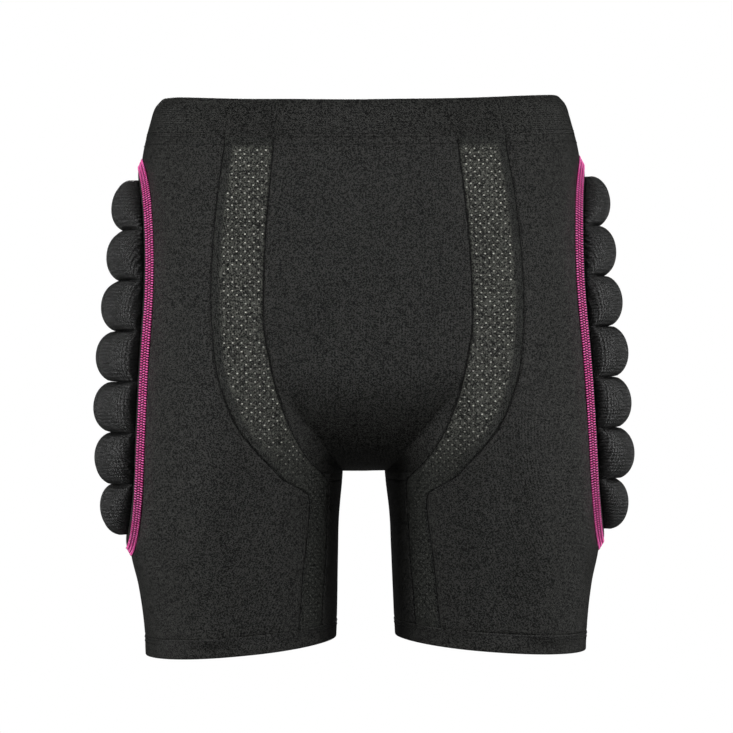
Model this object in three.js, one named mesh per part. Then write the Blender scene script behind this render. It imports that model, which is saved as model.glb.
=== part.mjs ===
import * as THREE from "three";

// Padded impact shorts, held in the shape they have when worn.
// Millimetres. +Z is up, the front faces -Y, the origin is the middle of the waist opening.

// Main sizes
const LENGTH = 424; // waist edge to hem, down the side
const RISE = 286; // waist edge to the fork between the legs
const HALF_WIDTH = 184.5; // middle to side at the widest level
const FRONT_DEPTH = 112; // middle to front at the belly
const BACK_DEPTH = 134; // middle to back at the seat
const FORK_HEIGHT = 80; // height over which front and back curve into the fork
const FORK_BLEND = 15; // length over which the wall at the fork turns upright

// Cloth and seams
const CLOTH = 1.5; // wall of a cloth panel
const BAND_CLOTH = 2.8; // wall of the waistband
const BAND_PROUD = 0.6; // waistband stands out over the panels
const HEM_CLOTH = 1.8; // wall of a turned hem, inside the panels' outer face
const HEM_PROUD = 0.5; // turned hem stands out over the panels
const BAND_HEIGHT = 30;
const HEM_HEIGHT = 15;
const SEAM_GAP = 0.4; // clearance between two neighbouring pieces
const GUSSET_DROP = 6; // centre panels reach this far down the inner thigh
const WAIST_DIP = 8; // waist edge is cut lower at the front
const DIP_REACH = 110; // depth below the waist over which the dip fades
const HEM_SLANT = 12; // hem is cut higher at the inner leg
const HEM_DIP = 2; // hem hangs lower at the front

// Oval hip panel with its pink seam
const OVAL_MIDDLE = 197; // depth of its centre below the waist edge
const OVAL_HALF_HEIGHT = 147.5;
const OVAL_FRONT = 71; // side line to its front edge, along the cloth
const OVAL_BACK = 82; // side line to its back edge, along the cloth
const OVAL_ROUND_TOP = 2.5; // squareness of its upper half
const OVAL_ROUND_BOTTOM = 3.2; // squareness of its lower half
const PINK_WIDTH = 8;
const PINK_PROUD = 0.7;

// Pads
const HIP_PAD_GAP = 0.7; // clearance between cloth and pad
const BACK_PAD_GAP = 0.9; // the same where the cloth is rounder
const PAD_EDGE = 1.6; // height of a pad at its rim
const PAD_VALLEY = 5; // height between two cells of the same pad
const PAD_MARGIN = 3; // bare cloth between pink seam and hip pad
const PAD_MARGIN_FRONT = 8; // the same along the front edge
const HIP_PAD_TOP = 63; // depth of the top edge below the waist edge
const HIP_PAD_BOTTOM = 331;
const HIP_PAD_HEIGHT = 22; // tallest cell
const HIP_PAD_ROWS = [0.85, 0.82, 0.95, 1, 1, 0.96, 0.8]; // cell heights, top row first
const HIP_PAD_COLUMNS = 3;
const TAIL_PAD_TOP = 62;
const TAIL_PAD_BOTTOM = 182;
const TAIL_PAD_HALF_WIDTH = 31;
const TAIL_PAD_HEIGHT = 16;
const SEAT_PAD_TOP = 126;
const SEAT_PAD_BOTTOM = 258;
const SEAT_PAD_INNER = 38; // from the middle of the back
const SEAT_PAD_OUTER = 112;
const SEAT_PAD_HEIGHT = 16;
const SEAT_PAD_SHIFT = 14; // its lower end lies this much closer to the middle

// Sections of the body that fills the shorts. Every column is a share of a main size:
// depth of LENGTH, side and centre and gap of HALF_WIDTH, front of FRONT_DEPTH, back of BACK_DEPTH.
// The front is straight out to the centre and rounds off from there to the side.
// The gap is half the space between the legs.
const SECTIONS = [
  { depth: 0.0, side: 0.822, front: 0.868, back: 0.738, centre: 0.16, gap: 0.087 },
  { depth: 0.015, side: 0.852, front: 0.884, back: 0.755, centre: 0.165, gap: 0.087 },
  { depth: 0.036, side: 0.868, front: 0.896, back: 0.768, centre: 0.17, gap: 0.087 },
  { depth: 0.09, side: 0.9, front: 0.93, back: 0.81, centre: 0.19, gap: 0.087 },
  { depth: 0.142, side: 0.917, front: 0.957, back: 0.862, centre: 0.22, gap: 0.087 },
  { depth: 0.236, side: 0.943, front: 0.985, back: 0.94, centre: 0.28, gap: 0.087 },
  { depth: 0.354, side: 0.963, front: 1.0, back: 0.993, centre: 0.35, gap: 0.087 },
  { depth: 0.472, side: 0.984, front: 0.99, back: 1.0, centre: 0.42, gap: 0.087 },
  { depth: 0.59, side: 0.998, front: 0.955, back: 0.94, centre: 0.48, gap: 0.087 },
  { depth: 0.675, side: 1.0, front: 0.92, back: 0.858, centre: 0.51, gap: 0.089 },
  { depth: 0.755, side: 0.992, front: 0.88, back: 0.79, centre: 0.515, gap: 0.1045 },
  { depth: 0.825, side: 0.968, front: 0.848, back: 0.746, centre: 0.512, gap: 0.11 },
  { depth: 0.875, side: 0.942, front: 0.822, back: 0.716, centre: 0.508, gap: 0.1135 },
  { depth: 0.943, side: 0.921, front: 0.79, back: 0.684, centre: 0.506, gap: 0.118 },
  { depth: 1.0, side: 0.914, front: 0.768, back: 0.662, centre: 0.508, gap: 0.123 },
];

// Seams: distance from the middle as a share of HALF_WIDTH, depth as a share of LENGTH.
// inner and outer bound the perforated panel, seat bounds the centre back panel.
// Below the fork, inner and seat bound the inner thigh panel.
const SEAMS = [
  { depth: 0.083, inner: 0.369, outer: 0.566, seat: 0.5 },
  { depth: 0.184, inner: 0.392, outer: 0.598, seat: 0.585 },
  { depth: 0.276, inner: 0.409, outer: 0.618, seat: 0.66 },
  { depth: 0.347, inner: 0.416, outer: 0.627, seat: 0.7 },
  { depth: 0.42, inner: 0.415, outer: 0.624, seat: 0.71 },
  { depth: 0.493, inner: 0.386, outer: 0.606, seat: 0.68 },
  { depth: 0.547, inner: 0.354, outer: 0.57, seat: 0.62 },
  { depth: 0.597, inner: 0.309, outer: 0.516, seat: 0.52 },
  { depth: 0.637, inner: 0.258, outer: 0.442, seat: 0.4 },
  { depth: 0.66, inner: 0.215, outer: 0.392, seat: 0.3 },
  { depth: 0.683, inner: 0.166, outer: 0.342, seat: 0.19 },
  { depth: 0.699, inner: 0.157, outer: 0.282, seat: 0.17 },
  { depth: 0.715, inner: 0.158, outer: 0.24, seat: 0.168 },
  { depth: 0.765, inner: 0.163, outer: 0.24, seat: 0.172 },
  { depth: 0.81, inner: 0.167, outer: 0.251, seat: 0.178 },
  { depth: 0.864, inner: 0.174, outer: 0.266, seat: 0.184 },
  { depth: 0.91, inner: 0.182, outer: 0.274, seat: 0.19 },
  { depth: 1.0, inner: 0.192, outer: 0.293, seat: 0.2 },
];

const ROUND_OUTER = 2.25; // squareness of the curve from front or back to the side
const ROUND_INNER = 2.2; // squareness of the curve round the inner thigh
const SAMPLES = 240; // points that measure one section curve

// A smooth value between the rows of a table.
function along(table, column, depth) {
  const last = table.length - 1;
  const d = Math.min(Math.max(depth, table[0].depth), table[last].depth);
  let i = 0;
  while (i < last - 1 && table[i + 1].depth < d) i += 1;
  const slope = (k) => {
    const a = table[Math.max(k - 1, 0)];
    const b = table[Math.min(k + 1, last)];
    return (b[column] - a[column]) / (b.depth - a.depth);
  };
  const low = table[i];
  const high = table[i + 1];
  const span = high.depth - low.depth;
  const t = (d - low.depth) / span;
  const rise = t * t * (3 - 2 * t);
  const leave = t * (1 - t) * (1 - t) * span * slope(i);
  const arrive = t * t * (t - 1) * span * slope(i + 1);
  return low[column] + (high[column] - low[column]) * rise + leave + arrive;
}

function clamp(value, low, high) {
  return Math.min(Math.max(value, low), high);
}

const FORK_Z = -RISE;
const GUSSET_Z = FORK_Z - GUSSET_DROP;

// One level of the body, pulled in by inset. Its curve runs from the front middle to the back middle,
// or round one leg from inseam to inseam. v is 0 to 1 on the straight front, 1 to 2 on the curve,
// 2 to 3 on the straight back.
function level(z, inset) {
  const share = clamp((z - FORK_Z) / FORK_HEIGHT, 0, 1);
  const depth = -z / LENGTH;
  const side = HALF_WIDTH * along(SECTIONS, "side", depth) - inset;
  const front = FRONT_DEPTH * along(SECTIONS, "front", depth) - inset;
  const back = BACK_DEPTH * along(SECTIONS, "back", depth) - inset;
  const centre = HALF_WIDTH * along(SECTIONS, "centre", depth);
  const wall = HALF_WIDTH * along(SECTIONS, "gap", depth) + inset;
  const isLeg = z < FORK_Z - 0.01;
  const rise = Math.sqrt(1 - (1 - share) ** 2);
  const least = isLeg ? 0 : SEAM_GAP / 2;
  const frontY = Math.max(front * rise, least);
  const backY = Math.max(back * rise, least);
  const startAngle = -Math.acos(clamp((frontY / front) ** (ROUND_INNER / 2), 0, 1));
  const endAngle = Math.PI + Math.acos(clamp((backY / back) ** (ROUND_INNER / 2), 0, 1));

  function onCurve(angle) {
    const s = Math.sin(angle);
    const c = Math.cos(angle);
    const inner = angle < 0 || angle > Math.PI;
    const power = 2 / (inner ? ROUND_INNER : ROUND_OUTER);
    const reach = inner ? wall - centre : side - centre;
    const x = centre + reach * Math.abs(s) ** power;
    const y = (c > 0 ? -front : back) * Math.abs(c) ** power;
    return [x, y];
  }

  function flat(v) {
    if (v < 1) {
      const edge = onCurve(startAngle)[0];
      return [edge * v, -frontY];
    }
    if (v > 2) {
      const edge = onCurve(endAngle)[0];
      return [edge * (3 - v), backY];
    }
    return onCurve(startAngle + (endAngle - startAngle) * (v - 1));
  }

  // 1 on the straight parts, falling to 0 on the inner thigh.
  function nearFork(y) {
    const away = y < 0 ? -y - frontY : y - backY;
    return clamp(1 - away / FORK_BLEND, 0, 1);
  }

  // The waist edge dips at the front, and the hems slant.
  function point(v) {
    const [x, y] = flat(v);
    const ahead = y < 0 ? (y / front) ** 2 : 0;
    const fade = clamp(1 + z / DIP_REACH, 0, 1);
    const leg = clamp((FORK_Z - z) / (LENGTH - RISE), 0, 1);
    const inwards = clamp(1 - (x - wall) / (side - wall), 0, 1);
    const dip = WAIST_DIP * fade * fade * (3 - 2 * fade) + HEM_DIP * leg;
    const lift = isLeg ? 0 : Math.max(inset, 0) * (1 - share) * nearFork(y);
    return [x, y, z + lift - dip * ahead + HEM_SLANT * leg * inwards];
  }
  return { z, isLeg, point, side };
}

// Levels are measured once: arc is the length along the outer curve.
const measured = new Map();
function measure(z) {
  const key = z.toFixed(4);
  if (measured.has(key)) return measured.get(key);
  const outer = level(z, 0);
  const first = outer.isLeg ? 1 : 0;
  const last = outer.isLeg ? 2 : 3;
  const list = [];
  let arc = 0;
  let before = null;
  for (let i = 0; i <= SAMPLES; i += 1) {
    const v = first + ((last - first) * i) / SAMPLES;
    const p = outer.point(v);
    if (before) arc += Math.hypot(p[0] - before[0], p[1] - before[1]);
    list.push({ v, arc, x: p[0], y: p[1] });
    before = p;
  }
  const sideIndex = list.reduce((best, s, i) => (s.x > list[best].x ? i : best), 0);
  const row = { z, isLeg: outer.isLeg, list, total: arc, sideArc: list[sideIndex].arc, sideIndex };
  measured.set(key, row);
  return row;
}

// The v of a level at a length along its curve. On a leg the length may run past the inseam.
function vAt(row, length) {
  let arc = length;
  if (row.isLeg && arc < 0) arc += row.total;
  if (row.isLeg && arc > row.total) arc -= row.total;
  const list = row.list;
  let low = 0;
  let high = list.length - 1;
  while (high - low > 1) {
    const mid = (low + high) >> 1;
    if (list[mid].arc <= arc) low = mid;
    else high = mid;
  }
  const span = list[high].arc - list[low].arc || 1;
  const t = clamp((arc - list[low].arc) / span, 0, 1);
  return list[low].v + (list[high].v - list[low].v) * t;
}

// The length along the curve where the front, or the back, is x away from the middle.
function arcAtX(row, x, onBack) {
  const list = row.list;
  const step = onBack ? -1 : 1;
  let i = onBack ? list.length - 1 : 0;
  while (i !== row.sideIndex && list[i].x < x) i += step;
  const here = list[i];
  const before = list[i - step] || here;
  const span = here.x - before.x || 1;
  return before.arc + (here.arc - before.arc) * clamp((x - before.x) / span, 0, 1);
}

function pointAt(row, length, inset) {
  return level(row.z, inset).point(vAt(row, length));
}

// Seam positions on a level, as lengths along its curve.
function seamX(row, name) {
  return HALF_WIDTH * along(SEAMS, name, -row.z / LENGTH);
}
const innerSeam = (row) => arcAtX(row, seamX(row, "inner"), false);
const outerSeam = (row) => arcAtX(row, seamX(row, "outer"), false);
const seatSeam = (row) => arcAtX(row, seamX(row, "seat"), true);

// Half width of an oval that is grown by extra, at a share of its half height.
function ovalReach(share, half, extra) {
  const power = share > 0 ? OVAL_ROUND_TOP : OVAL_ROUND_BOTTOM;
  const left = 1 - clamp(Math.abs(share), 0, 1) ** power;
  return (half + extra) * left ** (1 / power);
}

const HOLE_GROW = PINK_WIDTH / 2 + SEAM_GAP;
const HOLE_HALF_HEIGHT = OVAL_HALF_HEIGHT + HOLE_GROW;

function holeEdge(row, half) {
  const share = (row.z + OVAL_MIDDLE) / HOLE_HALF_HEIGHT;
  return Math.max(ovalReach(share, half, HOLE_GROW), SEAM_GAP / 2);
}

// Heights of the rows that all panels share.
const OVAL_STEPS_TOP = [1, 0.97, 0.9, 0.8, 0.66, 0.5];
const OVAL_STEPS_BOTTOM = [0.66, 0.8, 0.9, 0.97, 1];
const FORK_ANGLES = [90, 72, 54, 38, 24, 12, 0];
const PLAIN_ROWS = [0.524, 0.622]; // shares of RISE
const LEG_ROWS = [0.873, 0.92]; // shares of LENGTH
const PANEL_TOP = -BAND_HEIGHT - SEAM_GAP;
const PANEL_BOTTOM = -(LENGTH - HEM_HEIGHT) + SEAM_GAP;

const ovalTopRows = OVAL_STEPS_TOP.map((s) => -OVAL_MIDDLE + s * HOLE_HALF_HEIGHT);
const ovalBottomRows = OVAL_STEPS_BOTTOM.map((s) => -OVAL_MIDDLE - s * HOLE_HALF_HEIGHT);
const forkRows = FORK_ANGLES.map((a) => FORK_Z + FORK_HEIGHT * (1 - Math.cos((a * Math.PI) / 180)));
const upperRows = [PANEL_TOP, ...ovalTopRows, ...PLAIN_ROWS.map((s) => -s * RISE), ...forkRows];
const lowerRows = [...ovalBottomRows, ...LEG_ROWS.map((s) => -s * LENGTH), PANEL_BOTTOM];
const allRows = [...upperRows, GUSSET_Z, ...lowerRows];

function between(low, high, count) {
  return Array.from({ length: count + 1 }, (_, i) => low + ((high - low) * i) / count);
}

// A solid from two grids of points: the outer face and the inner face behind it.
function wallSolid(outer, inner, closed) {
  const ids = new Map();
  const positions = [];
  const triangles = [];
  const id = (p) => {
    const key = p.map((c) => Math.round(c * 2000)).join(",");
    if (!ids.has(key)) {
      ids.set(key, positions.length / 3);
      positions.push(p[0], p[1], p[2]);
    }
    return ids.get(key);
  };
  const add = (a, b, c) => {
    if (a !== b && b !== c && a !== c) triangles.push(a, b, c);
  };
  const rows = outer.length;
  const columns = outer[0].length;
  const out = outer.map((line) => line.map(id));
  const inn = inner.map((line) => line.map(id));
  const spans = closed ? columns : columns - 1;
  for (let j = 0; j < rows - 1; j += 1) {
    for (let i = 0; i < spans; i += 1) {
      const k = (i + 1) % columns;
      add(out[j][i], out[j + 1][i], out[j][k]);
      add(out[j][k], out[j + 1][i], out[j + 1][k]);
      add(inn[j][i], inn[j][k], inn[j + 1][i]);
      add(inn[j][k], inn[j + 1][k], inn[j + 1][i]);
    }
  }
  const rim = (j, i, m, k) => {
    add(out[m][k], out[j][i], inn[j][i]);
    add(out[m][k], inn[j][i], inn[m][k]);
  };
  for (let i = 0; i < spans; i += 1) {
    const k = (i + 1) % columns;
    rim(0, k, 0, i);
    rim(rows - 1, i, rows - 1, k);
  }
  if (!closed) {
    for (let j = 0; j < rows - 1; j += 1) {
      rim(j, 0, j + 1, 0);
      rim(j + 1, columns - 1, j, columns - 1);
    }
  }
  const geometry = new THREE.BufferGeometry();
  geometry.setAttribute("position", new THREE.Float32BufferAttribute(positions, 3));
  geometry.setIndex(triangles);
  geometry.computeVertexNormals();
  return geometry;
}

function mirrorPoint(p) {
  return [-p[0], p[1], p[2]];
}

// The other half of a grid: each line is mirrored and runs the other way.
function mirrorGrid(grid) {
  return grid.map((line) => line.map(mirrorPoint).reverse());
}

// A panel of one side between two seams, a list of lengths for each row.
function sidePanel(rows, from, to, columns) {
  const lengths = rows.map((z) => {
    const row = measure(z);
    return between(from(row), to(row), columns).map((s) => ({ row, s }));
  });
  const grid = (inset) => lengths.map((line) => line.map(({ row, s }) => pointAt(row, s, inset)));
  return { outer: grid(0), inner: grid(CLOTH) };
}

// A centre panel of one half, from the middle line to a seam. Its last row runs round the fork corner
// and down the inner thigh, so the corner has two columns.
function centreHalf(seam, onBack) {
  const straight = 3;
  const curved = 3;
  const middle = (row) => (onBack ? row.total : 0);
  const corner = (row) => row.list.find((s) => s.v >= (onBack ? 2 : 1)).arc;
  const grid = (inset) => {
    const lines = upperRows.map((z) => {
      const row = measure(z);
      const bend = corner(row);
      const edge = seam(row) + (onBack ? SEAM_GAP / 2 : -SEAM_GAP / 2);
      const past = onBack ? Math.min(bend, row.total) : bend;
      const inStraight = onBack ? edge > bend : edge < bend;
      const turn = inStraight ? (middle(row) + edge) / 2 : past;
      const first = between(middle(row), turn, straight);
      const second = between(turn, edge, curved);
      return [...first, ...second].map((s) => pointAt(row, s, inset));
    });
    const low = measure(GUSSET_Z);
    const start = onBack ? low.total - SEAM_GAP / 2 : SEAM_GAP / 2;
    const stop = seam(low) + (onBack ? SEAM_GAP / 2 : -SEAM_GAP / 2);
    const above = lines[lines.length - 1].slice(0, straight + 1);
    lines.push([...above, ...between(start, stop, curved).map((s) => pointAt(low, s, inset))]);
    return lines;
  };
  return { outer: grid(0), inner: grid(CLOTH) };
}

// Both halves of a centre panel side by side, running the way the section curves run.
function centrePanel(seam, onBack) {
  const half = centreHalf(seam, onBack);
  const join = (grid) => {
    const other = mirrorGrid(grid);
    const run = onBack ? grid.map((line) => [...line].reverse()) : other;
    const rest = onBack ? other.map((line) => [...line].reverse()) : grid;
    return run.map((line, j) => [...line, ...rest[j].slice(1)]);
  };
  return { outer: join(half.outer), inner: join(half.inner) };
}

function ringLine(z, columns, inset) {
  const row = measure(z);
  if (row.isLeg) {
    return between(0, row.total, columns).slice(0, columns).map((s) => pointAt(row, s, inset));
  }
  const half = between(0, row.total, columns / 2).map((s) => pointAt(row, s, inset));
  const other = half.map(mirrorPoint).reverse();
  return [...half, ...other.slice(1, -1)];
}

function ring(heights, columns, outside, inside) {
  const outer = heights.map((z) => ringLine(z, columns, outside));
  const inner = heights.map((z) => ringLine(z, columns, inside));
  return { outer, inner };
}

// Surface point and outward direction at a depth and a length from the side line, to the back.
function onCloth(z, offset) {
  const reach = CLOTH;
  const place = (dz, ds) => {
    const row = measure(z + dz);
    return new THREE.Vector3(...pointAt(row, row.sideArc + offset + ds, 0));
  };
  const down = place(-reach, 0).sub(place(reach, 0));
  const along = place(0, reach).sub(place(0, -reach));
  const normal = down.cross(along).normalize();
  return { at: place(0, 0), normal };
}

// Surface point and outward direction on the back, x away from the middle.
function onBackCloth(z, x) {
  const reach = CLOTH;
  const place = (dz, dx) => {
    const row = measure(z + dz);
    const away = Math.abs(x + dx);
    const p = pointAt(row, arcAtX(row, away, true), 0);
    return new THREE.Vector3(x + dx < 0 ? -p[0] : p[0], p[1], p[2]);
  };
  const down = place(-reach, 0).sub(place(reach, 0));
  const along = place(0, -reach).sub(place(0, reach));
  const normal = down.cross(along).normalize();
  return { at: place(0, 0), normal };
}

function lifted(spot, height) {
  const p = spot.at.clone().addScaledVector(spot.normal, height);
  return [p.x, p.y, p.z];
}

const CELL_STEPS_ACROSS = [0, 0.2, 0.8];
const CELL_STEPS_DOWN = [0, 0.14, 0.5, 0.86];
const CELL_POWER = 3;

function cellCrown(t) {
  return Math.sqrt(Math.max(1 - Math.abs(2 * t - 1) ** CELL_POWER, 0));
}

// A block of puffed cells. spot(u, w) gives the cloth under it, u and w run from 0 to 1
// across and down. heights holds one cell height for each row.
function padBlock(columns, heights, spot, gap) {
  const rows = heights.length;
  const steps = (count, parts) => {
    const list = [];
    for (let c = 0; c < count; c += 1) parts.forEach((t) => list.push({ cell: c, t }));
    list.push({ cell: count - 1, t: 1 });
    return list;
  };
  const across = steps(columns, CELL_STEPS_ACROSS);
  const downwards = steps(rows, CELL_STEPS_DOWN);
  const top = [];
  const base = [];
  downwards.forEach((down, j) => {
    const upper = [];
    const lower = [];
    across.forEach((side, i) => {
      const place = spot((side.cell + side.t) / columns, (down.cell + down.t) / rows);
      const atRim = i === 0 || j === 0 || i === across.length - 1 || j === downwards.length - 1;
      const floor = atRim ? PAD_EDGE : PAD_VALLEY;
      const crown = cellCrown(side.t) * cellCrown(down.t);
      const height = floor + (heights[down.cell] - floor) * crown;
      upper.push(lifted(place, gap + height));
      lower.push(lifted(place, gap));
    });
    top.push(upper);
    base.push(lower);
  });
  return { outer: top, inner: base };
}

// Hip pad: it fills the oval up to a bare margin.
function hipSpot(u, w) {
  const z = -(HIP_PAD_TOP + (HIP_PAD_BOTTOM - HIP_PAD_TOP) * w);
  const inset = -PINK_WIDTH / 2 - PAD_MARGIN;
  const frontInset = -PINK_WIDTH / 2 - PAD_MARGIN_FRONT;
  const share = (z + OVAL_MIDDLE) / (OVAL_HALF_HEIGHT + inset);
  const ahead = ovalReach(share, OVAL_FRONT, frontInset);
  const behind = ovalReach(share, OVAL_BACK, inset);
  return onCloth(z, -ahead + (ahead + behind) * u);
}

function tailSpot(u, w) {
  const z = -(TAIL_PAD_TOP + (TAIL_PAD_BOTTOM - TAIL_PAD_TOP) * w);
  return onBackCloth(z, TAIL_PAD_HALF_WIDTH * (1 - 2 * u));
}

function seatSpot(u, w) {
  const z = -(SEAT_PAD_TOP + (SEAT_PAD_BOTTOM - SEAT_PAD_TOP) * w);
  const bow = 4 * w * (1 - w);
  const outerX = SEAT_PAD_OUTER - SEAT_PAD_SHIFT * (1 + 1.2 * w) * (1 - bow);
  const innerX = SEAT_PAD_INNER - SEAT_PAD_SHIFT * 0.8 * w;
  return onBackCloth(z, outerX + (innerX - outerX) * u);
}

// Pink seam: a closed band round the oval. Its columns go down the front and up the back.
function pinkSeam() {
  const shares = allRows
    .map((z) => (z + OVAL_MIDDLE) / HOLE_HALF_HEIGHT)
    .filter((s) => Math.abs(s) <= 1.0001);
  const down = shares.map((s) => ({ s, front: true }));
  const up = shares.slice(1, -1).reverse().map((s) => ({ s, front: false }));
  const edge = (grow, inset) =>
    [...down, ...up].map(({ s, front }) => {
      const z = -OVAL_MIDDLE + s * (OVAL_HALF_HEIGHT + grow);
      const reach = ovalReach(s, front ? OVAL_FRONT : OVAL_BACK, grow);
      const row = measure(z);
      return pointAt(row, row.sideArc + (front ? -reach : reach), inset);
    });
  const half = PINK_WIDTH / 2;
  return {
    outer: [edge(-half, -PINK_PROUD), edge(half, -PINK_PROUD)],
    inner: [edge(-half, CLOTH), edge(half, CLOTH)],
  };
}

// Cloth inside the pink seam. Its first and last rows close to a point.
function hipPanel() {
  const grow = -PINK_WIDTH / 2 - SEAM_GAP;
  const shares = allRows
    .map((z) => (z + OVAL_MIDDLE) / HOLE_HALF_HEIGHT)
    .filter((s) => Math.abs(s) <= 1.0001);
  const grid = (inset) =>
    shares.map((s) => {
      const row = measure(-OVAL_MIDDLE + s * (OVAL_HALF_HEIGHT + grow));
      const ahead = ovalReach(s, OVAL_FRONT, grow);
      const behind = ovalReach(s, OVAL_BACK, grow);
      return between(-ahead, behind, 7).map((d) => pointAt(row, row.sideArc + d, inset));
    });
  return { outer: grid(0), inner: grid(CLOTH) };
}

const HIP_CELLS = HIP_PAD_ROWS.map((s) => s * HIP_PAD_HEIGHT);
const half = SEAM_GAP / 2;
const frontLegEdge = (row) => row.sideArc - holeEdge(row, OVAL_FRONT);
const backLegEdge = (row) => row.sideArc + holeEdge(row, OVAL_BACK);

const onePieces = {
  waistband: {
    grid: ring([0, -BAND_HEIGHT / 4, -BAND_HEIGHT], 48, -BAND_PROUD, BAND_CLOTH - BAND_PROUD),
    closed: true,
    material: "band",
  },
  front_panel: { grid: centrePanel(innerSeam, false), material: "cloth" },
  seat_panel: { grid: centrePanel(seatSeam, true), material: "cloth" },
  tailbone_pad: {
    grid: padBlock(2, Array(4).fill(TAIL_PAD_HEIGHT), tailSpot, BACK_PAD_GAP),
    material: "pad",
  },
};

const sidePieces = {
  mesh_panel: {
    grid: sidePanel(allRows, (r) => innerSeam(r) + half, (r) => outerSeam(r) - half, 2),
    material: "net",
  },
  front_leg: {
    grid: sidePanel(allRows, (r) => outerSeam(r) + half, frontLegEdge, 5),
    material: "cloth",
  },
  back_leg: {
    grid: sidePanel(allRows, backLegEdge, (r) => seatSeam(r) - half, 5),
    material: "cloth",
  },
  inner_thigh: {
    grid: sidePanel(
      [GUSSET_Z - SEAM_GAP, ...lowerRows],
      (r) => seatSeam(r) + half - r.total,
      (r) => innerSeam(r) - half,
      8,
    ),
    material: "cloth",
  },
  hip_panel: { grid: hipPanel(), material: "cloth" },
  side_seam: { grid: pinkSeam(), closed: true, material: "pink" },
  hip_pad: {
    grid: padBlock(HIP_PAD_COLUMNS, HIP_CELLS, hipSpot, HIP_PAD_GAP),
    material: "pad",
  },
  seat_pad: {
    grid: padBlock(2, Array(4).fill(SEAT_PAD_HEIGHT), seatSpot, BACK_PAD_GAP),
    material: "pad",
  },
  hem: {
    grid: ring([-(LENGTH - HEM_HEIGHT), -LENGTH], 28, -HEM_PROUD, HEM_CLOTH),
    closed: true,
    material: "cloth",
  },
};

const LOOKS = {
  cloth: { color: 0x262727, roughness: 0.78, metalness: 0 },
  band: { color: 0x232424, roughness: 0.8, metalness: 0 },
  net: { color: 0x343735, roughness: 0.85, metalness: 0 },
  pad: { color: 0x1f2020, roughness: 0.8, metalness: 0 },
  pink: { color: 0xc23a86, roughness: 0.7, metalness: 0 },
};

const shorts = new THREE.Group();
shorts.name = "padded_impact_shorts";

function addMesh(name, grid, closed, look) {
  const geometry = wallSolid(grid.outer, grid.inner, closed);
  const mesh = new THREE.Mesh(geometry, new THREE.MeshStandardMaterial(LOOKS[look]));
  mesh.name = name;
  shorts.add(mesh);
}

Object.entries(onePieces).forEach(([name, p]) => addMesh(name, p.grid, p.closed, p.material));
Object.entries(sidePieces).forEach(([name, p]) => {
  const other = { outer: mirrorGrid(p.grid.outer), inner: mirrorGrid(p.grid.inner) };
  addMesh(`${name}_right`, p.grid, p.closed, p.material);
  addMesh(`${name}_left`, other, p.closed, p.material);
});

export default shorts;
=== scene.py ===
# %% [markdown]
# # Padded impact shorts
# Stretch shorts with foam cells sewn on over the hips, the seat and the tailbone. They could be
# draped over a body by a simulation. They are held in the shape they have when worn instead,
# because the solids of the CAD model give that shape and its size. Here each solid gets its
# cloth, seams, stitches, eyelets and puffed cells.

# %% Frame
import math

import bmesh
import bpy
import numpy as np
from mathutils import Matrix, Vector, noise


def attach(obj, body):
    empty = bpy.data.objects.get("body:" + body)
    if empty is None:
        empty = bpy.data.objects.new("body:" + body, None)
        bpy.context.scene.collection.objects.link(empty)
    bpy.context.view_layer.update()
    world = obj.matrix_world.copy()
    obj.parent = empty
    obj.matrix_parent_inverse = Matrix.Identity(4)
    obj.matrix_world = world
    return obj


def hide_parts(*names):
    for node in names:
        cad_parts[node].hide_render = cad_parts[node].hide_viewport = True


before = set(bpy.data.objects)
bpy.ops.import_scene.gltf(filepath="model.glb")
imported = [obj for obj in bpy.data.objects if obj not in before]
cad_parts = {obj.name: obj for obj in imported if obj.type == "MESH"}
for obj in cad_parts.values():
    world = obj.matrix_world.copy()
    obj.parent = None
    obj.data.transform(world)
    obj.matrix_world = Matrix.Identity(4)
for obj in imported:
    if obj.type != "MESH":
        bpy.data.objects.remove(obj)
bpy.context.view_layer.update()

# %% [markdown]
# ## Sizes
# Real shorts are cut from flat patterns. These are the sizes of the worn form, in millimetres as
# in the CAD model, so that cloth and solids agree. One factor turns them into metres.

# %% The body and its bands
MM = 0.001
LENGTH = 424
RISE = 286
HALF_WIDTH = 184.5
FRONT_DEPTH = 112
BACK_DEPTH = 134
FORK_HEIGHT = 80
BAND_HEIGHT = 30
HEM_HEIGHT = 15
GUSSET_DROP = 6
WAIST_DIP = 8
DIP_REACH = 110
HEM_SLANT = 12
HEM_DIP = 2
ROUND_OUTER = 2.25
ROUND_INNER = 2.2
HEM_TOP = -(LENGTH - HEM_HEIGHT)
print("Shorts", LENGTH, "mm long,", 2 * HALF_WIDTH, "mm wide at the hips")

# %% The oval hip panels and the pink seam round them
OVAL_MIDDLE = 197
OVAL_HALF_HEIGHT = 147.5
OVAL_FRONT = 71
OVAL_BACK = 82
OVAL_ROUND_TOP = 2.5
OVAL_ROUND_BOTTOM = 3.2
PINK_WIDTH = 8
PINK_TILT = 3.2
UNDERLAP = 1
HOLE_GROW = PINK_WIDTH / 2 - UNDERLAP
print("Hip panels", 2 * OVAL_HALF_HEIGHT, "mm high")

# %% [markdown]
# ## Sections and seams
# The worn form narrows at the waist, is widest at the hips and parts into two legs. It could be
# sculpted. A table of a few heights is easier to keep equal to the CAD model, and a smooth
# curve joins its rows. All values are shares of the length or of the half width and depths.

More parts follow.
